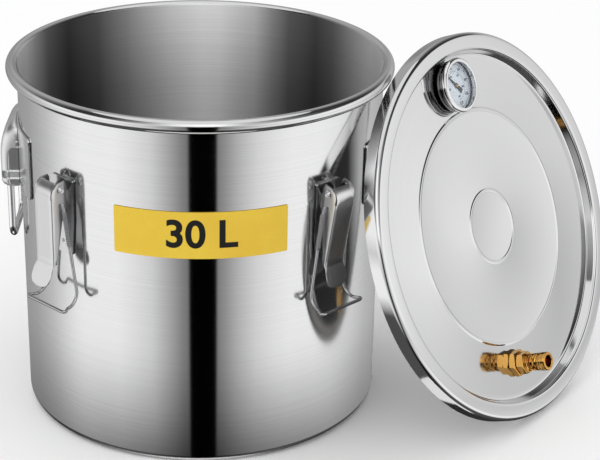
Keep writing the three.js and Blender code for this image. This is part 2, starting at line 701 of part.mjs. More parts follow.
const pot = new THREE.Group();
pot.add(meshOf('pot_shell', potShell(), steel));
pot.add(meshOf('pot_label', potLabel(), yellowLabel));
pot.add(handle('left', 180));
pot.add(handle('right', 0));
pot.add(latch('front_left', -90 - LATCH_SPREAD, 0));
pot.add(latch('front_right', -90 + LATCH_SPREAD, LEVER_CLOSED_LEAN));
pot.add(latch('rear_right', 90 - LATCH_SPREAD, LEVER_CLOSED_LEAN));
pot.add(latch('rear_left', 90 + LATCH_SPREAD, LEVER_CLOSED_LEAN));
pot.add(lid());

export default pot;
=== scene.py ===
"""A 30 litre steel pot with toggle latches, drop handles and a leaning lid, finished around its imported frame.

Lengths are millimetres while a piece is worked out. Its mesh is written in metres, in the frame's own place.
Pieces on the wall are worked out as [out, across, height], and pieces on the lid as [across, up, out].
"""

import json
import logging
import math
from contextlib import contextmanager
from dataclasses import dataclass, field
from enum import Enum
from typing import Iterator, Sequence

import bmesh
import bpy
from mathutils import Matrix, Vector

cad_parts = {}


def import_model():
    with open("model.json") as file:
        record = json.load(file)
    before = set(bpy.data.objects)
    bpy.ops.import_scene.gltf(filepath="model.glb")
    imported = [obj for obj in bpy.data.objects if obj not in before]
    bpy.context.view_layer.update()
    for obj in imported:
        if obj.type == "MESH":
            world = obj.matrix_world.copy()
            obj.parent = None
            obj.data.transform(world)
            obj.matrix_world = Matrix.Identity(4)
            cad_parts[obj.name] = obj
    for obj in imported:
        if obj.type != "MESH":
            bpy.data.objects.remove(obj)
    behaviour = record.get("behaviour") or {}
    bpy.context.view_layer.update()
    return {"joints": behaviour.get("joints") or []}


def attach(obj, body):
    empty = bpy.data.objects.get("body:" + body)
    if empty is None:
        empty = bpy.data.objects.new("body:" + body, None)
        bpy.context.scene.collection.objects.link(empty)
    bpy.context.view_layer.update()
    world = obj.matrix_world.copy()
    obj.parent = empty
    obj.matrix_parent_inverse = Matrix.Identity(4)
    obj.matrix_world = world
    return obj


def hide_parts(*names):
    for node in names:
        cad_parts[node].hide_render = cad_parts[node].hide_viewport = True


LOG = logging.getLogger("pot")
MM = 0.001
ROUND = 192
Pair = tuple[float, float]
Outline = list[Pair]
Colour = tuple[float, float, float]
Point = tuple[float, float, float]
Piece = bpy.types.Object


# ------------------------------------------------------------------ outlines and paths


def arc(centre: Pair, radii: Pair, start: float, end: float, steps: int) -> Outline:
    """Points on a stretch of ellipse.

    Args:
        centre: Middle of the ellipse.
        radii: Half widths along the two axes.
        start: First angle in degrees.
        end: Last angle in degrees.
        steps: Number of chords.

    Returns:
        The points, both ends included.
    """
    angles = [math.radians(start + (end - start) * i / steps) for i in range(steps + 1)]
    return [(centre[0] + radii[0] * math.cos(a), centre[1] + radii[1] * math.sin(a)) for a in angles]


def softened(corners: Outline, cut: float, steps: int = 3, closed: bool = True) -> Outline:
    """An outline with each corner rounded off.

    Args:
        corners: The sharp outline.
        cut: How far from each corner the rounding starts.
        steps: Chords in each rounded corner.
        closed: Whether the last corner joins the first.

    Returns:
        The rounded outline.
    """
    made: Outline = []
    count = len(corners)
    for i, corner in enumerate(corners):
        if not closed and i in (0, count - 1):
            made.append(corner)
            continue
        here = Vector(corner)
        ends = []
        for other in (Vector(corners[i - 1]), Vector(corners[(i + 1) % count])):
            side = other - here
            ends.append(here + side * min(cut / max(side.length, 1e-9), 0.46))
        for k in range(steps + 1):
            t = k / steps
            spot = ends[0] * (1 - t) ** 2 + here * 2 * t * (1 - t) + ends[1] * t**2
            made.append((spot.x, spot.y))
    return made


def bent_line(a: Pair, knee: Pair, b: Pair, t: float) -> Pair:
    """The point at t on the curve that leaves a towards the knee and ends at b."""
    return tuple(a[i] * (1 - t) ** 2 + 2 * knee[i] * t * (1 - t) + b[i] * t**2 for i in range(2))


def flowing(points: Sequence[Point], steps: int, closed: bool = False) -> list[Vector]:
    """A smooth line through the points.

    Args:
        points: Places that the line passes through.
        steps: Chords between one point and the next.
        closed: Whether the line returns to its first point.

    Returns:
        The points of the smooth line.
    """
    spots = [Vector(p) for p in points]
    count = len(spots)

    def at(i: int) -> Vector:
        """The point numbered i, with the ends repeated or wrapped."""
        return spots[i % count] if closed else spots[min(max(i, 0), count - 1)]

    line = []
    for i in range(count if closed else count - 1):
        p0, p1, p2, p3 = at(i - 1), at(i), at(i + 1), at(i + 2)
        for k in range(steps):
            t = k / steps
            line.append(
                0.5 * (2 * p1 + (p2 - p0) * t + (2 * p0 - 5 * p1 + 4 * p2 - p3) * t**2
                       + (3 * p1 - p0 - 3 * p2 + p3) * t**3)
            )
    if not closed:
        line.append(spots[-1])
    return line


# ------------------------------------------------------------------ meshes


def shown(name: str, mesh: bpy.types.Mesh) -> Piece:
    """An object that carries a mesh, linked to the scene."""
    made = bpy.data.objects.new(name, mesh)
    bpy.context.scene.collection.objects.link(made)
    return made


def solid(name: str, points: Sequence, faces: Sequence[Sequence[int]]) -> Piece:
    """A mesh object made of points in millimetres."""
    mesh = bpy.data.meshes.new(name)
    mesh.from_pydata([Vector(p) * MM for p in points], [], faces)
    return shown(name, mesh)


@contextmanager
def edited(piece: Piece) -> Iterator[bmesh.types.BMesh]:
    """The piece's mesh, open for editing and written back afterwards."""
    sheet = bmesh.new()
    sheet.from_mesh(piece.data)
    yield sheet
    sheet.to_mesh(piece.data)
    sheet.free()


def tidied(piece: Piece, sharp: float = 34.0) -> Piece:
    """Merges doubled corners, turns faces outward and shades the piece smooth up to the sharp angle."""
    with edited(piece) as sheet:
        bmesh.ops.remove_doubles(sheet, verts=sheet.verts, dist=1e-6)
        bmesh.ops.dissolve_degenerate(sheet, edges=sheet.edges, dist=1e-7)
        bmesh.ops.recalc_face_normals(sheet, faces=sheet.faces)
    piece.data.shade_smooth()
    piece.data.set_sharp_from_angle(angle=math.radians(sharp))
    return piece


def placed(piece: Piece, place: Matrix) -> Piece:
    """Moves the piece's mesh, leaving its object at the origin."""
    piece.data.transform(place)
    return piece


def baked(piece: Piece) -> Piece:
    """Replaces the piece's mesh by what its modifiers make of it, and removes them."""
    graph = bpy.context.evaluated_depsgraph_get()
    mesh = bpy.data.meshes.new_from_object(piece.evaluated_get(graph), depsgraph=graph)
    piece.modifiers.clear()
    piece.data = mesh
    mesh.name = piece.name
    return piece


def joined(name: str, parts: Sequence[Piece]) -> Piece:
    """One object that holds the meshes of several, which are removed."""
    sheet = bmesh.new()
    for part in parts:
        sheet.from_mesh(part.data)
    mesh = bpy.data.meshes.new(name)
    sheet.to_mesh(mesh)
    sheet.free()
    for part in parts:
        bpy.data.objects.remove(part)
    return shown(name, mesh)


def raised(name: str, outline: Outline, low: float, high: float, edge: float = 0, steps: int = 2) -> Piece:
    """An outline raised into a plate along the third axis.

    Args:
        name: The object's name.
        outline: Corners of the plate.
        low: Height of its lower face.
        high: Height of its upper face.
        edge: Width of the rounding round both faces.
        steps: Chords in that rounding.

    Returns:
        The plate.
    """
    sheet = bmesh.new()
    face = sheet.faces.new([sheet.verts.new(Vector((x, y, low)) * MM) for x, y in outline])
    top = bmesh.ops.extrude_face_region(sheet, geom=[face])["geom"]
    upper = [v for v in top if isinstance(v, bmesh.types.BMVert)]
    bmesh.ops.translate(sheet, vec=(0, 0, (high - low) * MM), verts=upper)
    bmesh.ops.recalc_face_normals(sheet, faces=sheet.faces)
    if edge:
        rims = [e for e in sheet.edges if all(abs(v.co.z - e.verts[0].co.z) < 1e-9 for v in e.verts)]
        bmesh.ops.bevel(
            sheet, geom=rims, offset=edge * MM, segments=steps, affect="EDGES", clamp_overlap=True,
        )
    mesh = bpy.data.meshes.new(name)
    sheet.to_mesh(mesh)
    sheet.free()
    return shown(name, mesh)


def cut_away(piece: Piece, cutters: Sequence[Piece]) -> Piece:
    """Takes the cutters' space out of the piece, and removes the cutters."""
    for cutter in cutters:
        step = piece.modifiers.new("cut", "BOOLEAN")
        step.operation, step.solver, step.object = "DIFFERENCE", "EXACT", cutter
    baked(piece)
    for cutter in cutters:
        bpy.data.objects.remove(cutter)
    return piece


def facing_out(piece: Piece) -> Piece:
    """Turns a sheet's faces so that the one farthest along the first axis looks that way."""
    with edited(piece) as sheet:
        loose = [v for v in sheet.verts if not v.link_faces]
        bmesh.ops.delete(sheet, geom=loose, context="VERTS")
        bmesh.ops.recalc_face_normals(sheet, faces=sheet.faces)
        if max(sheet.faces, key=lambda f: f.calc_center_median().x).normal.x < 0:
            bmesh.ops.reverse_faces(sheet, faces=sheet.faces)
    return piece


def thickened(piece: Piece, thickness: float, edge: float = 0.0) -> Piece:
    """Gives a sheet its thickness inward from its outer face, with softened edges."""
    wall = piece.modifiers.new("wall", "SOLIDIFY")
    wall.thickness, wall.offset, wall.use_quality_normals = thickness * MM, -1, True
    if edge:
        soft = piece.modifiers.new("edges", "BEVEL")
        soft.width, soft.segments = edge * MM, 2
        soft.limit_method, soft.angle_limit = "ANGLE", math.radians(50)
    return baked(piece)


# ------------------------------------------------------------------ node graphs


class Link:
    """An output socket that arithmetic can be written with."""

    def __init__(self, graph: "Graph", socket: bpy.types.NodeSocket) -> None:
        """Holds the socket and the graph that it belongs to."""
        self.graph = graph
        self.socket = socket

    def _maths(self, operation: str, first: "Link | float", second: "Link | float") -> "Link":
        """A Math node on two operands."""
        return self.graph.maths(operation, first, second)

    def __add__(self, other: "Link | float") -> "Link":
        """Self plus other."""
        return self._maths("ADD", self, other)

    def __radd__(self, other: float) -> "Link":
        """Other plus self."""
        return self._maths("ADD", other, self)

    def __sub__(self, other: "Link | float") -> "Link":
        """Self minus other."""
        return self._maths("SUBTRACT", self, other)

    def __rsub__(self, other: float) -> "Link":
        """Other minus self."""
        return self._maths("SUBTRACT", other, self)

    def __mul__(self, other: "Link | float") -> "Link":
        """Self times other."""
        return self._maths("MULTIPLY", self, other)

    def __rmul__(self, other: float) -> "Link":
        """Other times self."""
        return self._maths("MULTIPLY", other, self)

    def __truediv__(self, other: "Link | float") -> "Link":
        """Self divided by other."""
        return self._maths("DIVIDE", self, other)

    def __rtruediv__(self, other: float) -> "Link":
        """Other divided by self."""
        return self._maths("DIVIDE", other, self)

    def __pow__(self, other: "Link | float") -> "Link":
        """Self to the power of other."""
        return self._maths("POWER", self, other)

    def __rpow__(self, other: float) -> "Link":
        """Other to the power of self."""
        return self._maths("POWER", other, self)


class Graph:
    """Nodes of one tree, added one call at a time."""

    def __init__(self, tree: bpy.types.NodeTree) -> None:
        """Holds the tree."""
        self.tree = tree

    def node(self, kind: str, settings: dict | None = None, values: dict | None = None,
             output: int | str = 0) -> Link:
        """Adds a node.

        Args:
            kind: The node's type.
            settings: Its properties, with a ramp's stops under "stops".
            values: Numbers, materials or links for its input sockets, by name or number.
            output: The output socket wanted.

        Returns:
            That output.
        """
        made = self.tree.nodes.new(kind)
        for key, value in (settings or {}).items():
            if key == "stops":
                self._set_ramp(made.color_ramp, value)
            else:
                setattr(made, key, value)
        for key, value in (values or {}).items():
            if isinstance(value, Link):
                self.tree.links.new(value.socket, made.inputs[key])
            else:
                made.inputs[key].default_value = value
        return Link(self, made.outputs[output])

    @staticmethod
    def _set_ramp(ramp: bpy.types.ColorRamp, stops: Sequence[tuple[float, Colour]]) -> None:
        """Gives a colour ramp its stops."""
        while len(ramp.elements) > 1:
            ramp.elements.remove(ramp.elements[-1])
        for i, (spot, colour) in enumerate(stops):
            stop = ramp.elements[0] if i == 0 else ramp.elements.new(spot)
            stop.position, stop.color = spot, (*colour, 1)

    def feed(self, sink: bpy.types.Node, links: dict[int | str, Link]) -> None:
        """Links values into a node's sockets."""
        for socket, link in links.items():
            self.tree.links.new(link.socket, sink.inputs[socket])

    def maths(self, operation: str, first: "Link | float", second: "Link | float" = 0.0) -> Link:
        """A Math node, whose second operand only some operations read."""
        return self.node("ShaderNodeMath", {"operation": operation}, {0: first, 1: second})

    def ranged(self, value: Link, start: float, end: float, low: float = 0.0, high: float = 1.0) -> Link:
        """A value moved from the range start to end into the range low to high, and held there."""
        return self.node("ShaderNodeMapRange", None, {0: value, 1: start, 2: end, 3: low, 4: high})

    def vector(self, operation: str, first: Link, second: "Link | Sequence[float]", output: int = 0) -> Link:
        """A Vector Math node on two operands."""
        return self.node("ShaderNodeVectorMath", {"operation": operation}, {0: first, 1: second}, output)

    def split(self, vector: Link) -> tuple[Link, Link, Link]:
        """A vector's three parts."""
        made = self.node("ShaderNodeSeparateXYZ", None, {0: vector})
        return tuple(Link(self, socket) for socket in made.socket.node.outputs)

    def joint(self, x: "Link | float", y: "Link | float", z: "Link | float") -> Link:
        """A vector made of three parts."""
        return self.node("ShaderNodeCombineXYZ", None, {0: x, 1: y, 2: z})

    def mixed(self, share: "Link | float", first: "Link | Colour", second: "Link | Colour") -> Link:
        """A colour between two, by a share from 0 to 1."""
        ends = [c if isinstance(c, Link) else (*c, 1) for c in (first, second)]
        return self.node("ShaderNodeMix", {"data_type": "RGBA"}, {0: share, 6: ends[0], 7: ends[1]}, 2)

    def noise(self, vector: Link, scale: float, detail: float = 3.0) -> Link:
        """A noise value round 0.5."""
        return self.node("ShaderNodeTexNoise", None, {"Vector": vector, "Scale": scale, "Detail": detail})


class Recipe(Graph):
    """A geometry tree with named inputs, which makes a plain mesh of one material."""

    def __init__(self, name: str) -> None:
        """Starts the tree with a geometry input."""
        super().__init__(bpy.data.node_groups.new(name, "GeometryNodeTree"))
        self.names: dict[str, str] = {}
        self.source = self.tree.nodes.new("NodeGroupInput")
        self.start = self.given("Start", "NodeSocketGeometry")
        self.tree.interface.new_socket(name="Finished", in_out="OUTPUT", socket_type="NodeSocketGeometry")

    def given(self, name: str, kind: str = "NodeSocketFloat") -> Link:
        """Adds a named input and returns its link."""
        item = self.tree.interface.new_socket(name=name, in_out="INPUT", socket_type=kind)
        self.names[name] = item.identifier
        return Link(self, self.source.outputs[name])

    def close(self, geometry: Link) -> None:
        """Ends the tree with smooth shading, real geometry and the material."""
        material = self.given("Material", "NodeSocketMaterial")
        smooth = self.node("GeometryNodeSetShadeSmooth", None, {"Geometry": geometry})
        real = self.node("GeometryNodeRealizeInstances", None, {"Geometry": smooth})
        dressed = self.node("GeometryNodeSetMaterial", None, {"Geometry": real, "Material": material})
        sink = self.tree.nodes.new("NodeGroupOutput")
        self.tree.links.new(dressed.socket, sink.inputs[0])

    def run(self, name: str, points: Sequence, closed: bool, values: dict) -> Piece:
        """Makes one piece.

        Args:
            name: The piece's name.
            points: The line that the tree starts from, in millimetres.
            closed: Whether that line closes on itself.
            values: The named inputs.

        Returns:
            A plain mesh object.
        """
        piece = solid(name, points, [])
        count = len(points)
        piece.data.edges.add(count if closed else max(count - 1, 0))
        for i, edge in enumerate(piece.data.edges):
            edge.vertices = (i, (i + 1) % count)
        step = piece.modifiers.new(name, "NODES")
        step.node_group = self.tree
        for key, value in values.items():
            step[self.names[key]] = value
        return baked(piece)


class TurnedRecipe(Recipe):
    """Turns a profile of [radius, 0, height] points about the upright axis."""

    def __init__(self) -> None:
        """Builds the tree: a grid whose columns follow the profile and whose rows go round."""
        super().__init__("turned")
        segments = self.given("Segments", "NodeSocketInt")
        count = self.node("GeometryNodeAttributeDomainSize", {"component": "MESH"}, {0: self.start})
        grid = self.node("GeometryNodeMeshGrid", None, {
            "Size X": 1.0, "Size Y": 1.0, "Vertices X": count, "Vertices Y": segments + 1,
        })
        place = self.node("GeometryNodeInputPosition")
        x, y, _ = self.split(place)
        column = self.maths("ROUND", (x + 0.5) * (count - 1))
        sampled = self.node("GeometryNodeSampleIndex", {"data_type": "FLOAT_VECTOR"}, {
            "Geometry": self.start, "Value": place, "Index": column,
        })
        radius, _, height = self.split(sampled)
        angle = (y + 0.5) * (2 * math.pi)
        cosine = self.maths("COSINE", angle)
        sine = self.maths("SINE", angle)
        moved = self.node("GeometryNodeSetPosition", None, {
            "Geometry": grid, "Position": self.joint(radius * cosine, radius * sine, height),
        })
        self.close(self.node("GeometryNodeMergeByDistance", None, {"Geometry": moved, "Distance": 1e-6}))


class RodRecipe(Recipe):
    """Sweeps a round wire along a line."""

    def __init__(self) -> None:
        """Builds the tree: the line as a curve, with a circle drawn along it."""
        super().__init__("rod")
        radius = self.given("Wire Radius")
        sides = self.given("Sides", "NodeSocketInt")
        curve = self.node("GeometryNodeMeshToCurve", None, {"Mesh": self.start})
        circle = self.node("GeometryNodeCurvePrimitiveCircle", None, {"Radius": radius, "Resolution": sides})
        self.close(self.node("GeometryNodeCurveToMesh", None, {
            "Curve": curve, "Profile Curve": circle, "Fill Caps": True,
        }))


class CoilRecipe(Recipe):
    """Winds a wire into an upright helix: a spring with many sides, or a thread with four."""

    def __init__(self) -> None:
        """Builds the tree: a spiral with a circle drawn along it."""
        super().__init__("coil")
        turns = self.given("Turns")
        around = self.given("Steps Round", "NodeSocketInt")
        coil = self.given("Coil Radius")
        length = self.given("Length")
        radius = self.given("Wire Radius")
        sides = self.given("Sides", "NodeSocketInt")
        spiral = self.node("GeometryNodeCurveSpiral", None, {
            "Resolution": around, "Rotations": turns, "Height": length,
            "Start Radius": coil, "End Radius": coil,
        })
        circle = self.node("GeometryNodeCurvePrimitiveCircle", None, {"Radius": radius, "Resolution": sides})
        self.close(self.node("GeometryNodeCurveToMesh", None, {
            "Curve": spiral, "Profile Curve": circle, "Fill Caps": True,
        }))


class TickRecipe(Recipe):
    """Sets out printed marks along an arc of a dial."""

    def __init__(self) -> None:
        """Builds the tree: points on the arc, each with a thin block along its radius."""
        super().__init__("ticks")
        count = self.given("Count", "NodeSocketInt")
        radius = self.given("Radius")
        first = self.given("First Angle")
        sweep = self.given("Sweep")
        length = self.given("Mark Length")
        width = self.given("Mark Width")
        print_height = self.given("Mark Height")
        number = self.node("GeometryNodeInputIndex")
        angle = first + sweep * number / (count - 1)
        cosine = self.maths("COSINE", angle)
        sine = self.maths("SINE", angle)
        spots = self.node("GeometryNodePoints", None, {
            "Count": count, "Position": self.joint(radius * cosine, radius * sine, 0.0),
        })
        mark = self.node("GeometryNodeMeshCube", None, {"Size": self.joint(length, width, print_height)})
        self.close(self.node("GeometryNodeInstanceOnPoints", None, {
            "Points": spots, "Instance": mark, "Rotation": self.joint(0.0, 0.0, angle),
        }))


class StudRecipe(Recipe):
    """Sets a low dome on each of the given points."""

    def __init__(self) -> None:
        """Builds the tree: a flattened ball on every point."""
        super().__init__("studs")
        radius = self.given("Stud Radius")
        height = self.given("Stud Height")
        ball = self.node("GeometryNodeMeshUVSphere", None, {"Segments": 16, "Rings": 8, "Radius": 1.0})
        self.close(self.node("GeometryNodeInstanceOnPoints", None, {
            "Points": self.start, "Instance": ball, "Scale": self.joint(height, radius, radius),
        }))


# ------------------------------------------------------------------ finishes


class Grain(Enum):
    """Which way the fine lines of a metal run."""

    ROUND_POT = "round the pot"
    ROUND_LID = "round the lid"
    UPRIGHT = "up and down"
    EVEN = "even"


def new_material(name: str) -> tuple[bpy.types.Material, Graph, bpy.types.Node]:
    """A new node material, with its graph and its main shader."""
    made = bpy.data.materials.new(name)
    made.use_nodes = True
    return made, Graph(made.node_tree), made.node_tree.nodes["Principled BSDF"]


@dataclass(frozen=True)
class LidPlace:
    """Where the lid stands, read from the frame."""

    centre: Vector
    across: Vector
    up: Vector
    normal: Vector

    @classmethod
    def from_frame(cls, joints: Sequence[dict], pivot: Point) -> "LidPlace":
        """Works the place out from the pointer's hinge.

        Args:
            joints: The frame's joints.
            pivot: Where the hinge sits on the lid, in the lid's own millimetres.

        Returns:
            The lid's centre and directions.
        """
        hinge = next(j for j in joints if j["name"] == "gauge_needle")
        normal = -Vector(hinge["axis"]).normalized()
        across = Vector((-normal.y, normal.x, 0)).normalized()
        up = normal.cross(across)
        offset = across * pivot[0] + up * pivot[1] + normal * pivot[2]
        return cls(Vector(hinge["pos_m"]) - offset * MM, across, up, normal)

    def matrix(self, spot: Point = (0, 0, 0), turn: float = 0.0) -> Matrix:
        """The move from a piece's own axes to its spot on the lid, turned in degrees about the normal."""
        axes = Matrix((self.across, self.up, self.normal)).transposed().to_4x4()
        shift = Matrix.Translation(self.centre) @ axes @ Matrix.Translation(Vector(spot) * MM)
        return shift @ Matrix.Rotation(math.radians(turn), 4, "Z")


@dataclass(frozen=True)
class Bore:
    """The rougher finish of a vessel's inside, with painted reflections: light and dark tones painted into its
    colour by angle round from the first axis.
    """

    radius: float = 169.5
    floor: float = 0.5
    roughness: float = 0.42
    metallic: float = 0.5
    streak_tone: float = 0.85
    # Painted reflections: light and dark tones by angle, painted into the inside's colour in place of the
    # reflections that brushed steel shows there.
    tones: tuple[Pair, ...] = (
        (0, 0.72), (18, 0.58), (32, 0.34), (42, 0.14), (50, 0.07), (61, 0.15), (67.5, 0.38), (73.7, 0.74),
        (86, 1.0), (92, 1.0), (103.6, 0.82), (119, 0.34), (130, 0.11), (143, 0.04), (154, 0.12), (162, 0.34),
        (170, 0.62), (180, 0.74),
    )


@dataclass(frozen=True)
class Metal:
    """A metal with fine lines, broad streaks, smudges and scratches in its gloss, and inside a vessel a fan of
    painted reflections in its colour.
    """

    name: str
    tone: Colour
    roughness: float
    grain: Grain = Grain.EVEN
    line: float = 0.5
    line_length: float = 60.0
    contrast: float = 0.08
    gloss_spread: float = 0.12
    smudge: float = 0.06
    relief: float = 0.006
    anisotropy: float = 0.0
    tarnish: Colour | None = None
    lid: LidPlace | None = None
    inside: Bore | None = None

    def material(self) -> bpy.types.Material:
        """The finish as a new material."""
        made, graph, shader = new_material(self.name)
        shader.inputs["Metallic"].default_value = 1.0
        shader.inputs["Anisotropic"].default_value = self.anisotropy
        shader.inputs["Anisotropic Rotation"].default_value = 0.25

        spot = graph.node("ShaderNodeTexCoord", None, None, "Object")
        lines = self._lines(graph, spot)
        fine = graph.noise(lines, 1.0, 4)
        broad = graph.noise(lines, 0.16, 2)
        patches = graph.noise(spot, 14.0, 3)
        dark = tuple(c * (1 - self.contrast) for c in self.tone)
        light = tuple(min(c * (1 + self.contrast), 0.98) for c in self.tone)
        spread = graph.ranged(fine * 0.85 + broad * 0.15, 0.32, 0.68)
        colour = graph.mixed(spread, dark, light)
        if self.tarnish:
            colour = graph.mixed(graph.ranged(patches, 0.45, 0.7, 0.0, 0.6), colour, self.tarnish)
        scratches = graph.noise(graph.vector("MULTIPLY", spot, (900.0, 150.0, 400.0)), 1.0, 2)
        scuffed = graph.ranged(scratches, 0.66, 0.74, 0.0, self.smudge)
        rough = (fine - 0.5) * self.gloss_spread + (patches - 0.5) * self.smudge + scuffed + self.roughness
        # Inside the vessel: higher roughness, lower metallic, and a colour that is the painted reflection fan
        # multiplied by the brushing streaks.
        if self.inside:
            within, painted_reflection_fan = self._within(graph, spot)
            rough = rough + within * (self.inside.roughness - self.roughness)
            streaks = graph.mixed(spread, (self.inside.streak_tone,) * 3, (1, 1, 1))
            streaks_on_painted_fan = graph.node("ShaderNodeMix", {"data_type": "RGBA", "blend_type": "MULTIPLY"}, {
                0: 1.0, 6: painted_reflection_fan, 7: streaks,
            }, 2)
            colour = graph.mixed(within, colour, streaks_on_painted_fan)
            graph.feed(shader, {"Metallic": 1 - within * (1 - self.inside.metallic)})
        bump = graph.node("ShaderNodeBump", None, {
            "Strength": 1.0, "Distance": self.relief * MM, "Height": fine,
        })
        graph.feed(shader, {"Base Color": colour, "Roughness": rough, "Normal": bump})
        return made

    def _within(self, graph: Graph, spot: Link) -> tuple[Link, Link]:
        """Whether a spot is inside the vessel, and the painted reflection tones there, by angle."""
        x, y, z = graph.split(spot)
        near = graph.maths("LESS_THAN", (x * x + y * y) ** 0.5, self.inside.radius * MM)
        above = graph.maths("GREATER_THAN", z, self.inside.floor * MM)
        turn = graph.maths("ABSOLUTE", graph.maths("ARCTAN2", y, x)) / math.pi
        stops = [(degrees / 180, (tone,) * 3) for degrees, tone in self.inside.tones]
        return near * above, graph.node("ShaderNodeValToRGB", {"stops": stops}, {0: turn})

    def _lines(self, graph: Graph, spot: Link) -> Link:
        """Coordinates that are stretched along the grain."""
        across = 1 / (self.line * MM)
        along = 1 / (self.line_length * MM)
        if self.grain is Grain.EVEN:
            return graph.vector("MULTIPLY", spot, (across, across, across))
        if self.grain is Grain.UPRIGHT:
            return graph.vector("MULTIPLY", spot, (across, across, along))
        if self.grain is Grain.ROUND_LID:
            arm = graph.vector("SUBTRACT", spot, tuple(self.lid.centre))
            x, y, z = (graph.vector("DOT_PRODUCT", arm, tuple(axis), 1)
                       for axis in (self.lid.across, self.lid.up, self.lid.normal))
        else:
            x, y, z = graph.split(spot)
        reach = (x * x + y * y) ** 0.5
        return graph.joint(x * along, y * along, (z + reach) * across)


@dataclass(frozen=True)
class Coated:
    """Plastic, paint, ink or rubber with a mottled tone and a fine skin."""

    name: str
    tone: Colour
    other_tone: Colour
    roughness: float
    grain_size: float = 1.2
    gloss_spread: float = 0.15
    relief: float = 0.01
    drift: Point = (0.0, 0.0, 0.0)

    def material(self) -> bpy.types.Material:
        """The finish as a new material."""
        made, graph, shader = new_material(self.name)
        spot = graph.node("ShaderNodeTexCoord", None, None, "Object")
        fine = graph.noise(spot, 1 / (self.grain_size * MM), 3)
        broad = graph.noise(spot, 22.0, 2)
        # The drift slope moves the tone along one direction; on the label it is painted shade, darker towards
        # +x.
        slope = graph.vector("DOT_PRODUCT", spot, self.drift, 1)
        share = graph.ranged(broad * 0.6 + fine * 0.4 + slope, 0.3, 0.7)
        colour = graph.mixed(share, self.tone, self.other_tone)
        rough = (fine - 0.5) * self.gloss_spread + (broad - 0.5) * self.gloss_spread + self.roughness
        bump = graph.node("ShaderNodeBump", None, {
            "Strength": 0.6, "Distance": self.relief * MM, "Height": fine,
        })
        graph.feed(shader, {"Base Color": colour, "Roughness": rough, "Normal": bump})
        return made


@dataclass(frozen=True)
class ClearGlass:
    """A thin clear lens with faint wiping marks."""

    name: str
    tone: Colour = (0.95, 0.98, 1.0)
    clearness: float = 0.01

    def material(self) -> bpy.types.Material:
        """The finish as a new material."""
        made, graph, shader = new_material(self.name)
        shader.inputs["IOR"].default_value = 1.45
        spot = graph.node("ShaderNodeTexCoord", None, None, "Object")
        wiped = graph.noise(graph.vector("MULTIPLY", spot, (120.0, 900.0, 300.0)), 1.0, 3)
        dust = graph.noise(spot, 1800.0, 2)
        colour = graph.mixed(dust, self.tone, tuple(c * 0.93 for c in self.tone))
        alpha, rough = wiped * 0.03 + self.clearness, wiped * 0.08 + 0.02
        graph.feed(shader, {"Base Color": colour, "Alpha": alpha, "Roughness": rough})
        return made


Finish = Metal | Coated | ClearGlass


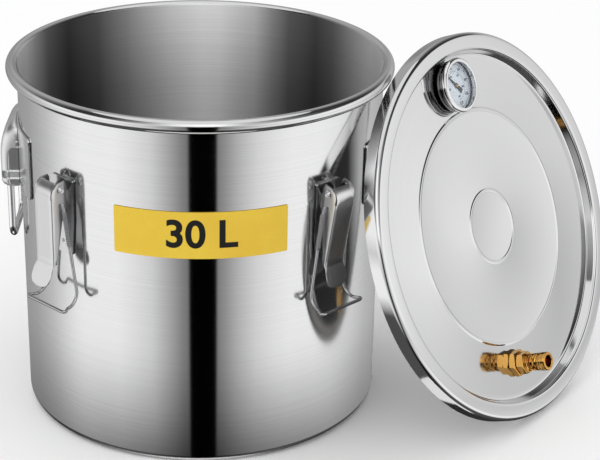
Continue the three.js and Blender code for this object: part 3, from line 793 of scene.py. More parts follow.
@dataclass
class Workshop:
    """The recipes and finishes that every sub-assembly draws on."""

    lid: LidPlace
    turned: TurnedRecipe = field(default_factory=TurnedRecipe)
    rod: RodRecipe = field(default_factory=RodRecipe)
    coil: CoilRecipe = field(default_factory=CoilRecipe)
    ticks: TickRecipe = field(default_factory=TickRecipe)
    studs: StudRecipe = field(default_factory=StudRecipe)
    finishes: dict[str, Finish] = field(default_factory=dict)
    mixed_up: dict[str, bpy.types.Material] = field(default_factory=dict)

    def __post_init__(self) -> None:
        """Lists the finishes."""
        steel: Colour = (0.70, 0.70, 0.705)
        bright: Colour = (0.80, 0.80, 0.805)
        gold: Colour = (0.80, 0.57, 0.035)
        made = [
            # The pot's inside has light and dark reflection tones painted into its colour.
            Metal("brushed_pot", steel, 0.10, Grain.ROUND_POT, 0.5, 700, 0.05, 0.05, 0.03, 0.003, 0.85,
                  inside=Bore()),
            Metal("lid_steel", steel, 0.08, Grain.ROUND_LID, 0.6, 160, 0.012, 0.03, 0.03, 0.001,
                  lid=self.lid),
            Metal("polished_steel", bright, 0.08, Grain.EVEN, 1.4, 60, 0.04, 0.05, 0.04, 0.0015),
            Metal("cover_steel", bright, 0.36, Grain.UPRIGHT, 0.8, 40, 0.04, 0.06, 0.05, 0.002),
            Metal("lever_steel", (0.72, 0.72, 0.725), 0.3, Grain.UPRIGHT, 0.6, 25, 0.04, 0.08, 0.06, 0.005),
            Metal("dark_polish", (0.16, 0.16, 0.165), 0.12, Grain.ROUND_LID, 0.5, 30, 0.15, 0.08, 0.05, 0.006,
                  lid=self.lid),
            Metal("stamped_steel", steel, 0.2, Grain.UPRIGHT, 0.5, 20, 0.05, 0.08, 0.06, 0.003),
            Metal("wire_steel", (0.50, 0.50, 0.51), 0.13, Grain.EVEN, 0.7, 60, 0.10, 0.08, 0.06, 0.002),
            Metal("brass", (0.74, 0.42, 0.11), 0.13, Grain.EVEN, 0.6, 60, 0.12, 0.08, 0.08, 0.004,
                  tarnish=(0.46, 0.22, 0.05)),
            Coated("silicone", (0.80, 0.79, 0.75), (0.70, 0.68, 0.63), 0.55, 0.9, 0.12, 0.02),
            # The label's drift is painted shade: its colour darkens towards +x across its width.
            Coated("label", gold, (0.73, 0.46, 0.02), 0.5, 1.1, 0.10, 0.004, (1.2, 0.0, 0.0)),
            Coated("label_ink", (0.002, 0.002, 0.002), (0.006, 0.006, 0.006), 0.6, 0.8, 0.10, 0.002),
            ClearGlass("lens_glass"),
            Coated("dial_face", (0.74, 0.80, 0.86), (0.62, 0.69, 0.77), 0.5, 0.5, 0.10, 0.003),
            Coated("dial_ink", (0.012, 0.02, 0.03), (0.03, 0.04, 0.06), 0.5, 0.3, 0.10, 0.002),
            Coated("pointer_paint", (0.035, 0.045, 0.05), (0.07, 0.08, 0.09), 0.4, 0.6, 0.12, 0.004),
        ]
        self.finishes = {finish.name: finish for finish in made}

    def material(self, name: str) -> bpy.types.Material:
        """The material of a named finish, made once."""
        if name not in self.mixed_up:
            self.mixed_up[name] = self.finishes[name].material()
        return self.mixed_up[name]

    def lathe(self, name: str, profile: Outline, finish: str, segments: int = ROUND,
              closed: bool = False) -> Piece:
        """A turned piece.

        Args:
            name: The piece's name.
            profile: Its [radius, height] points.
            finish: Its finish's name.
            segments: Faces round it.
            closed: Whether the profile closes on itself round a hole.

        Returns:
            The piece, standing on the upright axis.
        """
        points = [(r, 0, h) for r, h in (profile + profile[:1] if closed else profile)]
        values = {"Segments": segments, "Material": self.material(finish)}
        return tidied(self.turned.run(name, points, False, values))

    def wire(self, name: str, line: Sequence[Vector], radius: float, finish: str,
             closed: bool = False, sides: int = 16) -> Piece:
        """A round wire along a line."""
        values = {"Wire Radius": radius * MM, "Sides": sides, "Material": self.material(finish)}
        return tidied(self.rod.run(name, line, closed, values), 60)

    def install(self, piece: Piece, finish: str, body: str, *nodes: str) -> None:
        """Dresses a piece, hangs it on its body and reports it.

        Args:
            piece: The finished mesh object.
            finish: Its finish's name.
            body: The CAD body that carries it.
            nodes: CAD nodes that it stands for.
        """
        piece.data.materials.clear()
        piece.data.materials.append(self.material(finish))
        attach(piece, body)
        if nodes:
            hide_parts(*nodes)
        LOG.info("%s: %d faces on %s", piece.name, len(piece.data.polygons), body)

    def turn_for_lid(self, name: str, profile: Outline, finish: str, place: Matrix, node: str,
                     segments: int = 64, closed: bool = True) -> None:
        """Makes a turned piece in its place on the lid, and installs it for its node."""
        piece = placed(self.lathe(name, profile, finish, segments, closed), place)
        self.install(piece, finish, "lid", node)

    def welds(self, spots: Sequence[Point], radius: float, height: float) -> Piece:
        """Spot welds, as low domes that face out from the wall."""
        return self.studs.run("welds", spots, False, {
            "Stud Radius": radius * MM, "Stud Height": height * MM,
            "Material": self.material("stamped_steel"),
        })

    def wound(self, name: str, turns: float, radius: float, length: float, wire: float, finish: str,
              around: int, sides: int) -> Piece:
        """A wire wound upward from the origin.

        Args:
            name: The piece's name.
            turns: How many times it goes round.
            radius: Radius of the wire's middle.
            length: Height from its start to its end.
            wire: Radius of the wire.
            finish: Its finish's name.
            around: Chords in each turn.
            sides: Faces round the wire.

        Returns:
            The coil, not yet tidied.
        """
        return self.coil.run(name, [(0, 0, 0)], False, {
            "Turns": turns, "Steps Round": around, "Coil Radius": radius * MM, "Length": length * MM,
            "Wire Radius": wire * MM, "Sides": sides, "Material": self.material(finish),
        })

    def nut(self, name: str, flats: float, low: float, high: float, hole: float) -> Piece:
        """A hexagon with turned corners and a hole.

        Args:
            name: The object's name.
            flats: Width across the flats.
            low: Height of its lower face.
            high: Height of its upper face.
            hole: Radius of its hole.

        Returns:
            The nut, upright on the origin.
        """
        block = raised(name, hex_outline(flats), low, high)
        corner, flat = flats / math.sqrt(3), flats / 2
        cone: Outline = [
            (flat - 0.4, high + 0.01), (corner + 0.4, high - 1.5), (corner + 0.4, low + 1.5),
            (flat - 0.4, low - 0.01), (corner + 6, low - 4), (corner + 6, high + 4),
        ]
        shaver = self.lathe("shaver", cone, "brass", 64, closed=True)
        drill = raised("drill", arc((0, 0), (hole, hole), 0, 352.5, 47), low - 5, high + 5)
        return cut_away(block, [shaver, drill])


# ------------------------------------------------------------------ the pot's body


POT_RADIUS = 170.0
AIR = 0.3


@dataclass(frozen=True)
class WallPlace:
    """A spot round the pot's wall, for pieces worked out as [out, across, height]."""

    azimuth: float

    def matrix(self) -> Matrix:
        """The move from a piece's own axes to the wall."""
        turn = Matrix.Rotation(math.radians(self.azimuth), 4, "Z")
        return turn @ Matrix.Translation((POT_RADIUS * MM, 0, 0))

    def wrap(self, piece: Piece) -> Piece:
        """Bends a flat piece of [out, across, height] round the wall."""
        for corner in piece.data.vertices:
            out, across, height = corner.co
            angle = math.radians(self.azimuth) + across / (POT_RADIUS * MM)
            reach = POT_RADIUS * MM + out
            corner.co = (reach * math.cos(angle), reach * math.sin(angle), height)
        return piece


def upright(piece: Piece) -> Piece:
    """Turns a plate drawn as [across, height, out] into [out, across, height]."""
    return placed(piece, Matrix(((0, 0, 1, 0), (1, 0, 0, 0), (0, 1, 0, 0), (0, 0, 0, 1))))


def sideways(piece: Piece) -> Piece:
    """Turns a plate drawn as [out, height, across] into [out, across, height]."""
    return placed(piece, Matrix(((1, 0, 0, 0), (0, 0, 1, 0), (0, 1, 0, 0), (0, 0, 0, 1))))


def sliced(piece: Piece, spacing: float) -> Piece:
    """Cuts an upright plate into strips, so that it can be bent round the wall."""
    with edited(piece) as sheet:
        low = min(v.co.y for v in sheet.verts)
        high = max(v.co.y for v in sheet.verts)
        count = max(int((high - low) / (spacing * MM)), 1)
        for i in range(1, count):
            spot = low + (high - low) * i / count
            bmesh.ops.bisect_plane(
                sheet, geom=[*sheet.verts, *sheet.edges, *sheet.faces], dist=1e-7,
                plane_co=(0, spot, 0), plane_no=(0, 1, 0),
            )
    return piece


@dataclass
class PotBody:
    """The drawn steel vessel with its rolled rim, and the label on its front."""

    shop: Workshop
    wall: float = 1.0
    fillet: float = 7.0
    bead_centre: Pair = (174.2, 330.1)
    bead_half: Pair = (5.8, 6.2)
    label_azimuth: float = -87.7
    label_half_width: float = 78.3
    label_heights: Pair = (206.3, 250.3)
    label_thickness: float = 0.5
    mark: str = "30 L"
    mark_size: float = 36.0

    def _profile(self) -> Outline:
        """The wall's outline from the middle of the base outside to its middle inside."""
        inner = POT_RADIUS - self.wall
        corner = (POT_RADIUS - self.fillet, self.fillet)
        small = self.fillet - self.wall
        meets = [
            math.degrees(math.acos((radius - self.bead_centre[0]) / self.bead_half[0]))
            for radius in (POT_RADIUS, inner)
        ]
        return [
            (0, 0), (60, 0), (120, 0), (150, 0),
            *arc(corner, (self.fillet, self.fillet), -90, 0, 8),
            (POT_RADIUS, 120), (POT_RADIUS, 240),
            *arc(self.bead_centre, self.bead_half, -meets[0], meets[1], 28),
            (inner, 240), (inner, 120),
            *arc(corner, (small, small), 0, -90, 8),
            (150, self.wall), (120, self.wall), (60, self.wall), (0, self.wall),
        ]

    def _label(self) -> None:
        """The film on the wall, with its corners rounded."""
        low, high = self.label_heights
        half = self.label_half_width
        outline = softened([(-half, low), (half, low), (half, high), (-half, high)], 1.2)
        film = upright(raised("label_film", outline, AIR, AIR + self.label_thickness, 0.12, 1))
        WallPlace(self.label_azimuth).wrap(sliced(film, 3.0))
        self.shop.install(tidied(film, 40), "label", "pot", "pot_label")

    def _mark(self) -> None:
        """The capacity printed on the film."""
        flat = lettered("label_mark", self.mark, self.mark_size, 0.05, 0.9)
        low, high = self.label_heights
        face = AIR + self.label_thickness + 0.02
        upright(placed(flat, Matrix.Translation(Vector((0, (low + high) / 2, face)) * MM)))
        WallPlace(self.label_azimuth).wrap(sliced(flat, 2.0))
        self.shop.install(tidied(flat, 40), "label_ink", "pot")

    def build(self) -> None:
        """Makes the vessel, the label and its mark."""
        vessel = self.shop.lathe("pot_vessel", self._profile(), "brushed_pot", 256)
        self.shop.install(vessel, "brushed_pot", "pot", "pot_shell")
        self._label()
        self._mark()


def lettered(name: str, text: str, size: float, thickness: float, weight: float = 0.0) -> Piece:
    """Raised lettering centred on the origin, facing up the third axis.

    Args:
        name: The object's name.
        text: What it says.
        size: Height of the type.
        thickness: Half its raised height.
        weight: How far each stroke is fattened.

    Returns:
        A plain mesh object in metres.
    """
    curve = bpy.data.curves.new(name, "FONT")
    curve.body, curve.size = text, size * MM
    curve.align_x, curve.align_y = "CENTER", "CENTER"
    curve.extrude, curve.offset = thickness * MM, weight * MM
    curve.resolution_u = 6
    source = bpy.data.objects.new(name, curve)
    bpy.context.scene.collection.objects.link(source)
    graph = bpy.context.evaluated_depsgraph_get()
    mesh = bpy.data.meshes.new_from_object(source.evaluated_get(graph), depsgraph=graph)
    bpy.data.objects.remove(source)
    return shown(name, mesh)


# ------------------------------------------------------------------ drop handles


@dataclass
class DropHandle:
    """A base plate, a stamped cover and the ring that hangs from it."""

    shop: Workshop
    side: str
    azimuth: float
    plate_half_width: float = 81.0
    plate_heights: Pair = (219.0, 279.5)
    plate_corner: float = 5.0
    plate_sheet: float = 1.5
    weld_spots: tuple[Pair, ...] = ((50, 228), (50, 270), (72, 249))
    cover_half: float = 37.0
    cover_sheet: float = 1.6
    cover_soft: float = 6.0
    panel_sink: float = 1.0
    cover_top: float = 280.0
    cover_bottom: float = 217.0
    cover_out: float = 15.5
    cover_fall: Pair = (24.0, 18.0)
    notch: Pair = (28.8, 228.0)
    axis: Pair = (7.2, 222.0)
    rod: float = 3.3
    ring_half: float = 33.0
    ring_drop: float = 58.0
    ring_corner: float = 12.0
    ring_shoulder: float = 6.0

    def _plate(self) -> None:
        """The plate under the cover, bent to the wall, with its spot welds."""
        low, high = self.plate_heights
        half, corner = self.plate_half_width, self.plate_corner
        round_corner = (corner, corner)
        outline = [
            *arc((half - corner, low + corner), round_corner, -90, 0, 8),
            *arc((half - corner, high - corner), round_corner, 0, 90, 8),
            *arc((corner - half, high - corner), round_corner, 90, 180, 8),
            *arc((corner - half, low + corner), round_corner, 180, 270, 8),
        ]
        flat = upright(raised("flat", outline, AIR, AIR + self.plate_sheet, 0.3))
        sliced(flat, 4.0)
        welds = self.shop.welds([
            (AIR + self.plate_sheet, side * across, height)
            for side in (-1, 1) for across, height in self.weld_spots
        ], 2.0, 0.35)
        plate = joined(f"handle_base_{self.side}", [flat, welds])
        WallPlace(self.azimuth).wrap(plate)
        self.shop.install(tidied(plate), "stamped_steel", "pot", f"handle_plate_{self.side}")

    def _side_view(self) -> Outline:
        """The cover's outline seen along the wall: a long slope at the top, a tight turn at the bottom."""
        top, bottom, out = self.cover_top, self.cover_bottom, self.cover_out
        slope = [bent_line((2, top), (out, top - 4), (out, top - 34), i / 12) for i in range(13)]
        return [(0, top), *slope, (out, top - 46), *arc((out - 5, bottom + 5), (5, 5), 0, -90, 5)]

    def _section(self, across: float, inset: float) -> list[Point]:
        """The side view drawn in by an inset, from the wall at the top to the lip at the bottom."""
        view = self._side_view()
        run_in, drop = self.cover_fall
        near_end = max(self.cover_half - abs(across), 0) / run_in
        fall = drop * max(1 - math.sqrt(near_end), 0) ** 2
        made = []
        for i, (out, height) in enumerate(view):
            before, after = view[max(i - 1, 0)], view[min(i + 1, len(view) - 1)]
            run = Vector((after[0] - before[0], after[1] - before[1])).normalized()
            rise = max((height - self.cover_top + 40) / 40, 0)
            shift = Vector((run.y, -run.x)) * inset if rise > 0.1 else Vector((-inset, 0))
            made.append((out + shift.x, across, height + shift.y - fall * rise))
        made[0] = (self._wall_gap(across), across, made[1][2])
        return made

    def _wall_gap(self, across: float) -> float:
        """How far out the base plate's face stands at a distance from the cover's middle."""
        return math.sqrt((POT_RADIUS + AIR + self.plate_sheet + AIR) ** 2 - across**2) - POT_RADIUS

    def _cover(self) -> None:
        """The stamped cover, open below and behind, with a sunk panel in each end."""
        half, soft = self.cover_half, self.cover_soft
        ends = [(half - soft + a, soft - b) for a, b in arc((0, 0), (soft, soft), 90, 0, 6)]
        ends += [(half, soft + 1.3), (half - self.panel_sink, soft + 2.1)]
        flat = half - soft
        spots = [(-a, d) for a, d in reversed(ends)] + [(flat * k / 10, 0) for k in range(-9, 10)] + ends
        columns = [self._section(across, inset) for across, inset in spots]
        backs = [
            [(min(self._wall_gap(across), out), across, height) for out, across, height in column]
            for column in (columns[0], columns[-1])
        ]
        columns = [backs[0], *columns, backs[1]]
        rows = len(columns[0])
        points = [p for column in columns for p in column]
        faces = [
            (c * rows + r, c * rows + r + 1, (c + 1) * rows + r + 1, (c + 1) * rows + r)
            for c in range(len(columns) - 1) for r in range(rows - 1)
        ]
        cover = thickened(facing_out(tidied(solid("cover", points, faces))), self.cover_sheet, 0.2)
        start, level = self.notch
        gap = softened([(-20, 200), (30, 200), (30, level), (-20, level)], 3)
        cut_away(cover, [sideways(raised("notch", gap, side * start, side * (half + 3))) for side in (-1, 1)])
        cover.name = f"handle_shell_{self.side}"
        placed(cover, WallPlace(self.azimuth).matrix())
        self.shop.install(tidied(cover, 30), "cover_steel", "pot", f"handle_cover_{self.side}")

    def _ring(self) -> None:
        """The bent rod, with its ends welded to the bar that runs through the cover."""
        out, top = self.axis
        low = top - self.ring_drop + self.ring_corner
        shoulder = self.ring_shoulder
        half = [
            *arc((self.ring_half - shoulder, top - shoulder), (shoulder, shoulder), 90, 0, 6),
            *arc((self.ring_half - self.ring_corner, low), (self.ring_corner, self.ring_corner), 0, -90, 9),
        ]
        loop = half + [(-across, height) for across, height in reversed(half)]
        line = [Vector((out, across, height)) for across, height in loop]
        ring = self.shop.wire(f"drop_ring_{self.side}", line, self.rod, "polished_steel", True, 20)
        placed(ring, WallPlace(self.azimuth).matrix())
        self.shop.install(ring, "polished_steel", f"ring_{self.side}", f"handle_ring_{self.side}")

    def build(self) -> None:
        """Makes the plate, the cover and the ring."""
        self._plate()
        self._cover()
        self._ring()


# ------------------------------------------------------------------ toggle latches


@dataclass
class Latch:
    """A bracket, its rivet, the folded lever and the sprung wire bail."""

    shop: Workshop
    corner: str
    azimuth: float
    lean: float
    pivot: Pair
    hole_drop: float
    plate_heights: Point = (263.0, 226.0, 190.0)
    plate_halves: Pair = (15.0, 12.0)
    plate_sheet: float = 1.5
    ear_half: float = 10.2
    weld_heights: Pair = (202.0, 222.0)
    half: float = 12.0
    sheet: float = 1.2
    face: float = 23.6
    bend: float = 1.8
    fold: float = 187.0
    shoulder: float = 250.0
    tab: float = 22.0
    tab_flare: float = 24.0
    tab_round: float = 9.0
    bail_half: float = 20.0
    bail_drop: float = 84.0
    bail_slope: float = 0.09
    hook_radius: float = 13.0
    bar_half: float = 26.0
    bar_reach: float = 20.0
    wire: float = 1.5
    spring: tuple[float, float, float] = (6.0, 40.0, 2.3)
    spring_turns: float = 19.0
    spring_wire: float = 0.72

    def place(self) -> Matrix:
        """The move from the latch's own axes to the wall."""
        return WallPlace(self.azimuth).matrix()

    def _bracket(self) -> None:
        """The base plate with its two ears and spot welds."""
        pivot_out, pivot_height = self.pivot
        top, knee, foot = self.plate_heights
        wide, narrow = self.plate_halves
        outline = softened([
            (-wide, top), (-wide, knee), (-narrow, foot), (narrow, foot), (wide, knee), (wide, top),
        ], 3.2)
        face = AIR + self.plate_sheet
        plate = sliced(upright(raised("plate", outline, AIR, face, 0.3)), 4.0)
        WallPlace(0).wrap(plate)
        placed(plate, Matrix.Translation((-POT_RADIUS * MM, 0, 0)))
        ear = [(1, 252), *arc((pivot_out, pivot_height), (5.2, 5.2), 165, -70, 16), (5.5, 246), (1, 238)]
        ears = [
            sideways(raised("ear", ear, start, start + self.plate_sheet, 0.25))
            for start in (-self.ear_half, self.ear_half - self.plate_sheet)
        ]
        welds = self.shop.welds([(face, 0, height) for height in self.weld_heights], 1.8, 0.4)
        bracket = placed(joined(f"latch_base_{self.corner}", [plate, *ears, welds]), self.place())
        self.shop.install(tidied(bracket), "stamped_steel", "pot", f"latch_bracket_{self.corner}")

    def _rivet(self) -> None:
        """The rivet with a ringed head on each side."""
        head = self.half + AIR
        half = [(2.1, 0), (2.1, head), (3.4, head), (3.4, head + 0.5), (3.0, head + 1.0), (2.5, head + 1.0),
                (2.1, head + 0.45), (1.5, head + 0.4), (1.1, head + 1.0), (0.6, head + 1.2), (0, head + 1.2)]
        profile = [(r, -h) for r, h in reversed(half[1:])] + half[1:]
        pin = self.shop.lathe("pin", profile, "polished_steel", 32)
        pin.name = f"latch_rivet_{self.corner}"
        lie = Matrix.Rotation(math.radians(-90), 4, "X")
        spot = Matrix.Translation(Vector((self.pivot[0], 0, self.pivot[1])) * MM)
        placed(pin, self.place() @ spot @ lie)
        self.shop.install(pin, "polished_steel", "pot", f"latch_pin_{self.corner}")

    def _cheek_back(self, height: float) -> float:
        """How far from the wall the cheek's rear edge stands at a height."""
        stops = [(self.fold, self.face - 4), (234, 10.5), (240, 6.4), (261, 6.0), (264, 7.6)]
        for (h0, w0), (h1, w1) in zip(stops, stops[1:]):
            if height <= h1:
                return w0 + (w1 - w0) * max(height - h0, 0) / (h1 - h0)
        return stops[-1][1]

    def _lever(self) -> None:
        """The folded channel with its rounded shoulder, slit corners and flared thumb tab."""
        bend, face = self.bend, self.face
        front = face - bend
        cheek_steps, bend_steps, face_steps = 5, 3, 8
        corner = arc((0, 0), (bend, bend), 180, 90, bend_steps + 1)[1:-1]
        rows: list[list[Point]] = []
        slit_from = 12
        for i in range(slit_from + 8):
            t = max(i - slit_from + 1, 0) / 8
            height = self.fold + (self.shoulder - self.fold) * min(i / (slit_from - 1), 1)
            face_out, face_height = (face, height) if t == 0 else bent_line(
                (face, self.shoulder), (face, self.shoulder + 8), (16, 263.4), t)
            tip_out, tip_height = (front, height) if t == 0 else bent_line(
                (front, self.shoulder), (front + 1.2, self.shoulder + 9), (15.2, 263.6), t)
            back_height = height if t == 0 else self.shoulder + 14 * t
            back = self._cheek_back(back_height)
            left = [
                (back + (tip_out - back) * k / (cheek_steps - 1), -self.half,
                 back_height + (tip_height - back_height) * k / (cheek_steps - 1))
                for k in range(cheek_steps)
            ]
            left += [(front + y, -self.half + bend + x, height) for x, y in corner]
            flat = self.half - bend
            middle = [
                (face_out, -flat + 2 * flat * k / (face_steps - 1), face_height) for k in range(face_steps)
            ]
            rows.append(left + middle + [(w, -a, h) for w, a, h in reversed(left)])
        width = len(rows[0])
        slits = {cheek_steps - 1 + k for k in range(bend_steps + 1)}
        slits |= {width - 2 - k for k in slits}
        points = [p for row in rows for p in row]
        faces = [
            (r * width + c, r * width + c + 1, (r + 1) * width + c + 1, (r + 1) * width + c)
            for r in range(len(rows) - 1) for c in range(width - 1)
            if not (r >= slit_from - 1 and c in slits)
        ]
        first, last = cheek_steps - 1, width - cheek_steps
        flare = math.radians(self.tab_flare)
        previous = list(range(first, last + 1))
        for i in range(1, 13):
            reach = self.tab * i / 12
            past = max(reach - (self.tab - self.tab_round), 0) / self.tab_round
            narrow = 1 - (1 - math.sqrt(1 - past**2)) * self.tab_round / self.half
            row = []
            for c in range(first, last + 1):
                out, across, _ = rows[0][c]
                dish = (face - out) * max(1 - reach / 5, 0)
                row.append(len(points))
                points.append((
                    face + reach * math.sin(flare) - dish, across * narrow,
                    self.fold - reach * math.cos(flare),
                ))
            faces += [(row[k], row[k + 1], previous[k + 1], previous[k]) for k in range(len(row) - 1)]
            previous = row
        lever = thickened(facing_out(solid("lever", points, faces)), self.sheet, 0.22)
        hole = (self.pivot[0], self.pivot[1] - self.hole_drop)
        cut_away(lever, [sideways(raised("hole", arc(hole, (1.9, 2.3), 0, 342, 19), -20, 20))])
        lever.name = f"latch_handle_{self.corner}"
        spot = Vector((self.pivot[0], 0, self.pivot[1])) * MM
        turn = Matrix.Rotation(math.radians(self.lean), 4, "Y")
        swing = Matrix.Translation(spot) @ turn @ Matrix.Translation(-spot)
        placed(lever, self.place() @ swing)
        self.shop.install(
            tidied(lever, 30), "lever_steel", f"lever_{self.corner}", f"latch_lever_{self.corner}",
        )

    def _leg(self, drop: float, side: int) -> Point:
        """A point on the bail's leg, measured down from the hole."""
        across = 14.8 + (self.bail_half - 14.8) * drop / self.bail_drop
        return (-self.bail_slope * drop, side * across, -drop)

    def _bail(self) -> None:
        """The wire from one spring's foot round the hooked end to the other's."""
        out, _, low = self._leg(self.bail_drop, 1)
        turn = arc((out + self.hook_radius, low), (self.hook_radius, self.hook_radius), 180, 270, 6)
        bar, level = out + self.bar_reach, low - self.hook_radius
        half = [
            self._leg(self.spring[1] + 0.4, 1), self._leg(55, 1), self._leg(70, 1),
            *[(w, self.bail_half + 0.35 * i, h) for i, (w, h) in enumerate(turn)],
            (bar - 2, self.bar_half - 0.8, level), (bar, self.bar_half - 4, level),
            (bar, self.bar_half / 2, level),
        ]
        line = half + [(bar, 0, level)] + [(w, -a, h) for w, a, h in reversed(half)]
        bail = self.shop.wire(f"bail_loop_{self.corner}", flowing(line, 4), self.wire, "wire_steel")
        placed(bail, self._hanging())
        self.shop.install(bail, "wire_steel", f"bail_{self.corner}", f"bail_wire_{self.corner}")

    def _hanging(self) -> Matrix:
        """The move from the bail's own axes, with its hole at the origin, to the wall."""
        lean = math.radians(self.lean)
        out = self.pivot[0] - self.hole_drop * math.sin(lean)
        height = self.pivot[1] - self.hole_drop * math.cos(lean)
        return self.place() @ Matrix.Translation(Vector((out, 0, height)) * MM)

    def _springs(self) -> None:
        """The coiled upper end of each leg, with the hook that goes through the lever's cheek."""
        start, end, radius = self.spring
        for letter, side in (("a", -1), ("b", 1)):
            hook = [(0, side * 9.6, 0), (0, side * 12, 0), (0, side * 13.7, -0.4), self._leg(3.2, side),
                    self._leg(start + 0.6, side)]
            shank = self.shop.wire("shank", flowing(hook, 5), 1.1, "wire_steel", False, 12)
            head, foot = Vector(self._leg(start, side)), Vector(self._leg(end, side))
            length = (foot - head).length
            coil = self.shop.wound(
                "coil", self.spring_turns, radius - self.spring_wire, length, self.spring_wire, "wire_steel",
                20, 8,
            )
            aim = (foot - head).to_track_quat("Z", "Y").to_matrix().to_4x4()
            placed(tidied(coil, 60), Matrix.Translation(head * MM) @ aim)
            name = f"bail_coil_{letter}_{self.corner}"
            piece = placed(joined(name, [shank, coil]), self._hanging())
            self.shop.install(
                tidied(piece, 60), "wire_steel", f"bail_{self.corner}", f"bail_spring_{letter}_{self.corner}",
            )

    def build(self) -> None:
        """Makes the bracket, rivet, lever, bail and springs."""
        self._bracket()
        self._rivet()
        self._lever()
        self._bail()
        self._springs()


# ------------------------------------------------------------------ the lid


@dataclass
class Lid:
    """The dished lid and the gasket under its edge."""

    shop: Workshop
    radius: float = 186.3
    sheet: float = 1.0
    skirt: float = 15.5
    step_radius: float = 170.0
    step_depth: float = 9.6
    corner: float = 5.0
    beads: tuple[float, ...] = (113.0, 34.8)
    bead_height: float = 0.7
    bead_half: float = 2.6

    def _profile(self) -> Outline:
        """The lid's outline, outer face first, then the inner one back to the skirt's edge."""
        rim = (self.radius - self.corner, -self.corner)
        inner = self.corner - self.sheet
        panel, back = -self.step_depth, -self.step_depth - self.sheet
        face: Outline = [(self.radius, -self.skirt), *arc(rim, (self.corner,) * 2, 0, 90, 8)]
        step = softened([
            (self.step_radius + 4, 0), (self.step_radius, 0), (self.step_radius - 3.2, panel),
            (self.step_radius - 9, panel),
        ], 2.4, 5, closed=False)
        for bead in self.beads:
            for i in range(11):
                swell = self.bead_height * math.sin(math.pi * i / 10) ** 2
                step.append((bead + self.bead_half * (1 - i / 5), panel + swell))
        under = softened([
            (self.step_radius - 9, back), (self.step_radius - 4, back), (self.step_radius - 0.8, -self.sheet),
            (self.step_radius + 4, -self.sheet),
        ], 2.4, 5, closed=False)
        crown = arc(rim, (inner, inner), 90, 0, 8)
        return [*face, *step, (0, panel), (0, back), *under, *crown, (self.radius - self.sheet, -self.skirt)]

    def build(self) -> None:
        """Makes the lid and its gasket."""
        place = self.shop.lid.matrix()
        self.shop.turn_for_lid("lid_dish", self._profile(), "lid_steel", place, "lid_pan", 256)
        top = -self.sheet - AIR
        section = softened([
            (173.5, top), (173.5, top - 3), (184, top - 3), (184, top - 1.5), (181.5, top),
        ], 0.6)
        self.shop.turn_for_lid("lid_seal", section, "silicone", place, "lid_gasket", ROUND)


# ------------------------------------------------------------------ brass hose fitting


def hex_outline(across_flats: float, turn: float = 0.0) -> Outline:
    """The six corners of a hexagon."""
    return arc((0, 0), (across_flats / math.sqrt(3),) * 2, turn, turn + 300, 5)


@dataclass
class HoseFitting:
    """The brass body with its lock nut, seal and back nut. Heights are above the lid's panel."""

    shop: Workshop
    spot: Pair = (-23.0, -132.0)
    panel: float = -9.6
    reach: float = 38.0
    hexagon: float = 19.5
    nut: float = 23.0
    thread: float = 8.4
    bore: float = 5.6
    pitch: float = 2.4
    thread_span: Pair = (16.2, 29.4)

    def place(self) -> Matrix:
        """The move from the fitting's own axes to the lid."""
        return self.shop.lid.matrix((*self.spot, self.panel))

    def _body(self) -> None:
        """The threaded tube with its hexagon and end collar."""
        r, reach = self.thread, self.reach
        outer: Outline = [
            (r - 1.2, -13.5), (r, -12.3), (r, 15.6), (r - 1.0, 16.2), (r - 1.0, reach - 8.4),
            (r + 0.2, reach - 7.8), (r + 0.5, reach - 7.2), (r + 0.5, reach - 4.8), (r + 0.1, reach - 4.4),
            (r + 0.5, reach - 4.0), (r + 0.5, reach - 1.2), (r - 0.1, reach - 0.3), (r - 0.7, reach),
        ]
        inner: Outline = [
            (self.bore + 0.5, reach), (self.bore, reach - 0.6), (self.bore, 24), (4, 20), (4, -13.5),
        ]
        tube = self.shop.lathe("tube", outer + inner, "brass", 64, closed=True)
        low, high = self.thread_span
        ridge = self.shop.wound(
            "ridge", (high - low) / self.pitch, r - 0.75, high - low, 0.85, "brass", 48, 4,
        )
        placed(ridge, Matrix.Translation((0, 0, low * MM)))
        collar = self.shop.nut("collar", self.hexagon, 7.1, 15, r - 0.3)
        body = placed(joined("hose_body", [tube, ridge, collar]), self.place())
        self.shop.install(tidied(body, 28), "brass", "lid", "fitting_body")

    def build(self) -> None:
        """Makes the body and its nuts."""
        self._body()
        clear = self.thread + AIR
        for name, node, low, high in (
            ("hose_lock_nut", "fitting_lock_nut", AIR, 6.8),
            ("hose_back_nut", "fitting_back_nut", -9.6, -3.6),
        ):
            nut = placed(self.shop.nut(name, self.nut, low, high, clear), self.place())
            self.shop.install(tidied(nut, 28), "brass", "lid", node)
        section = softened([(clear, -3.3), (13, -3.3), (13, -1.3), (clear, -1.3)], 0.5)
        self.shop.turn_for_lid("hose_seal", section, "silicone", self.place(), "fitting_seal")


# ------------------------------------------------------------------ dial thermometer


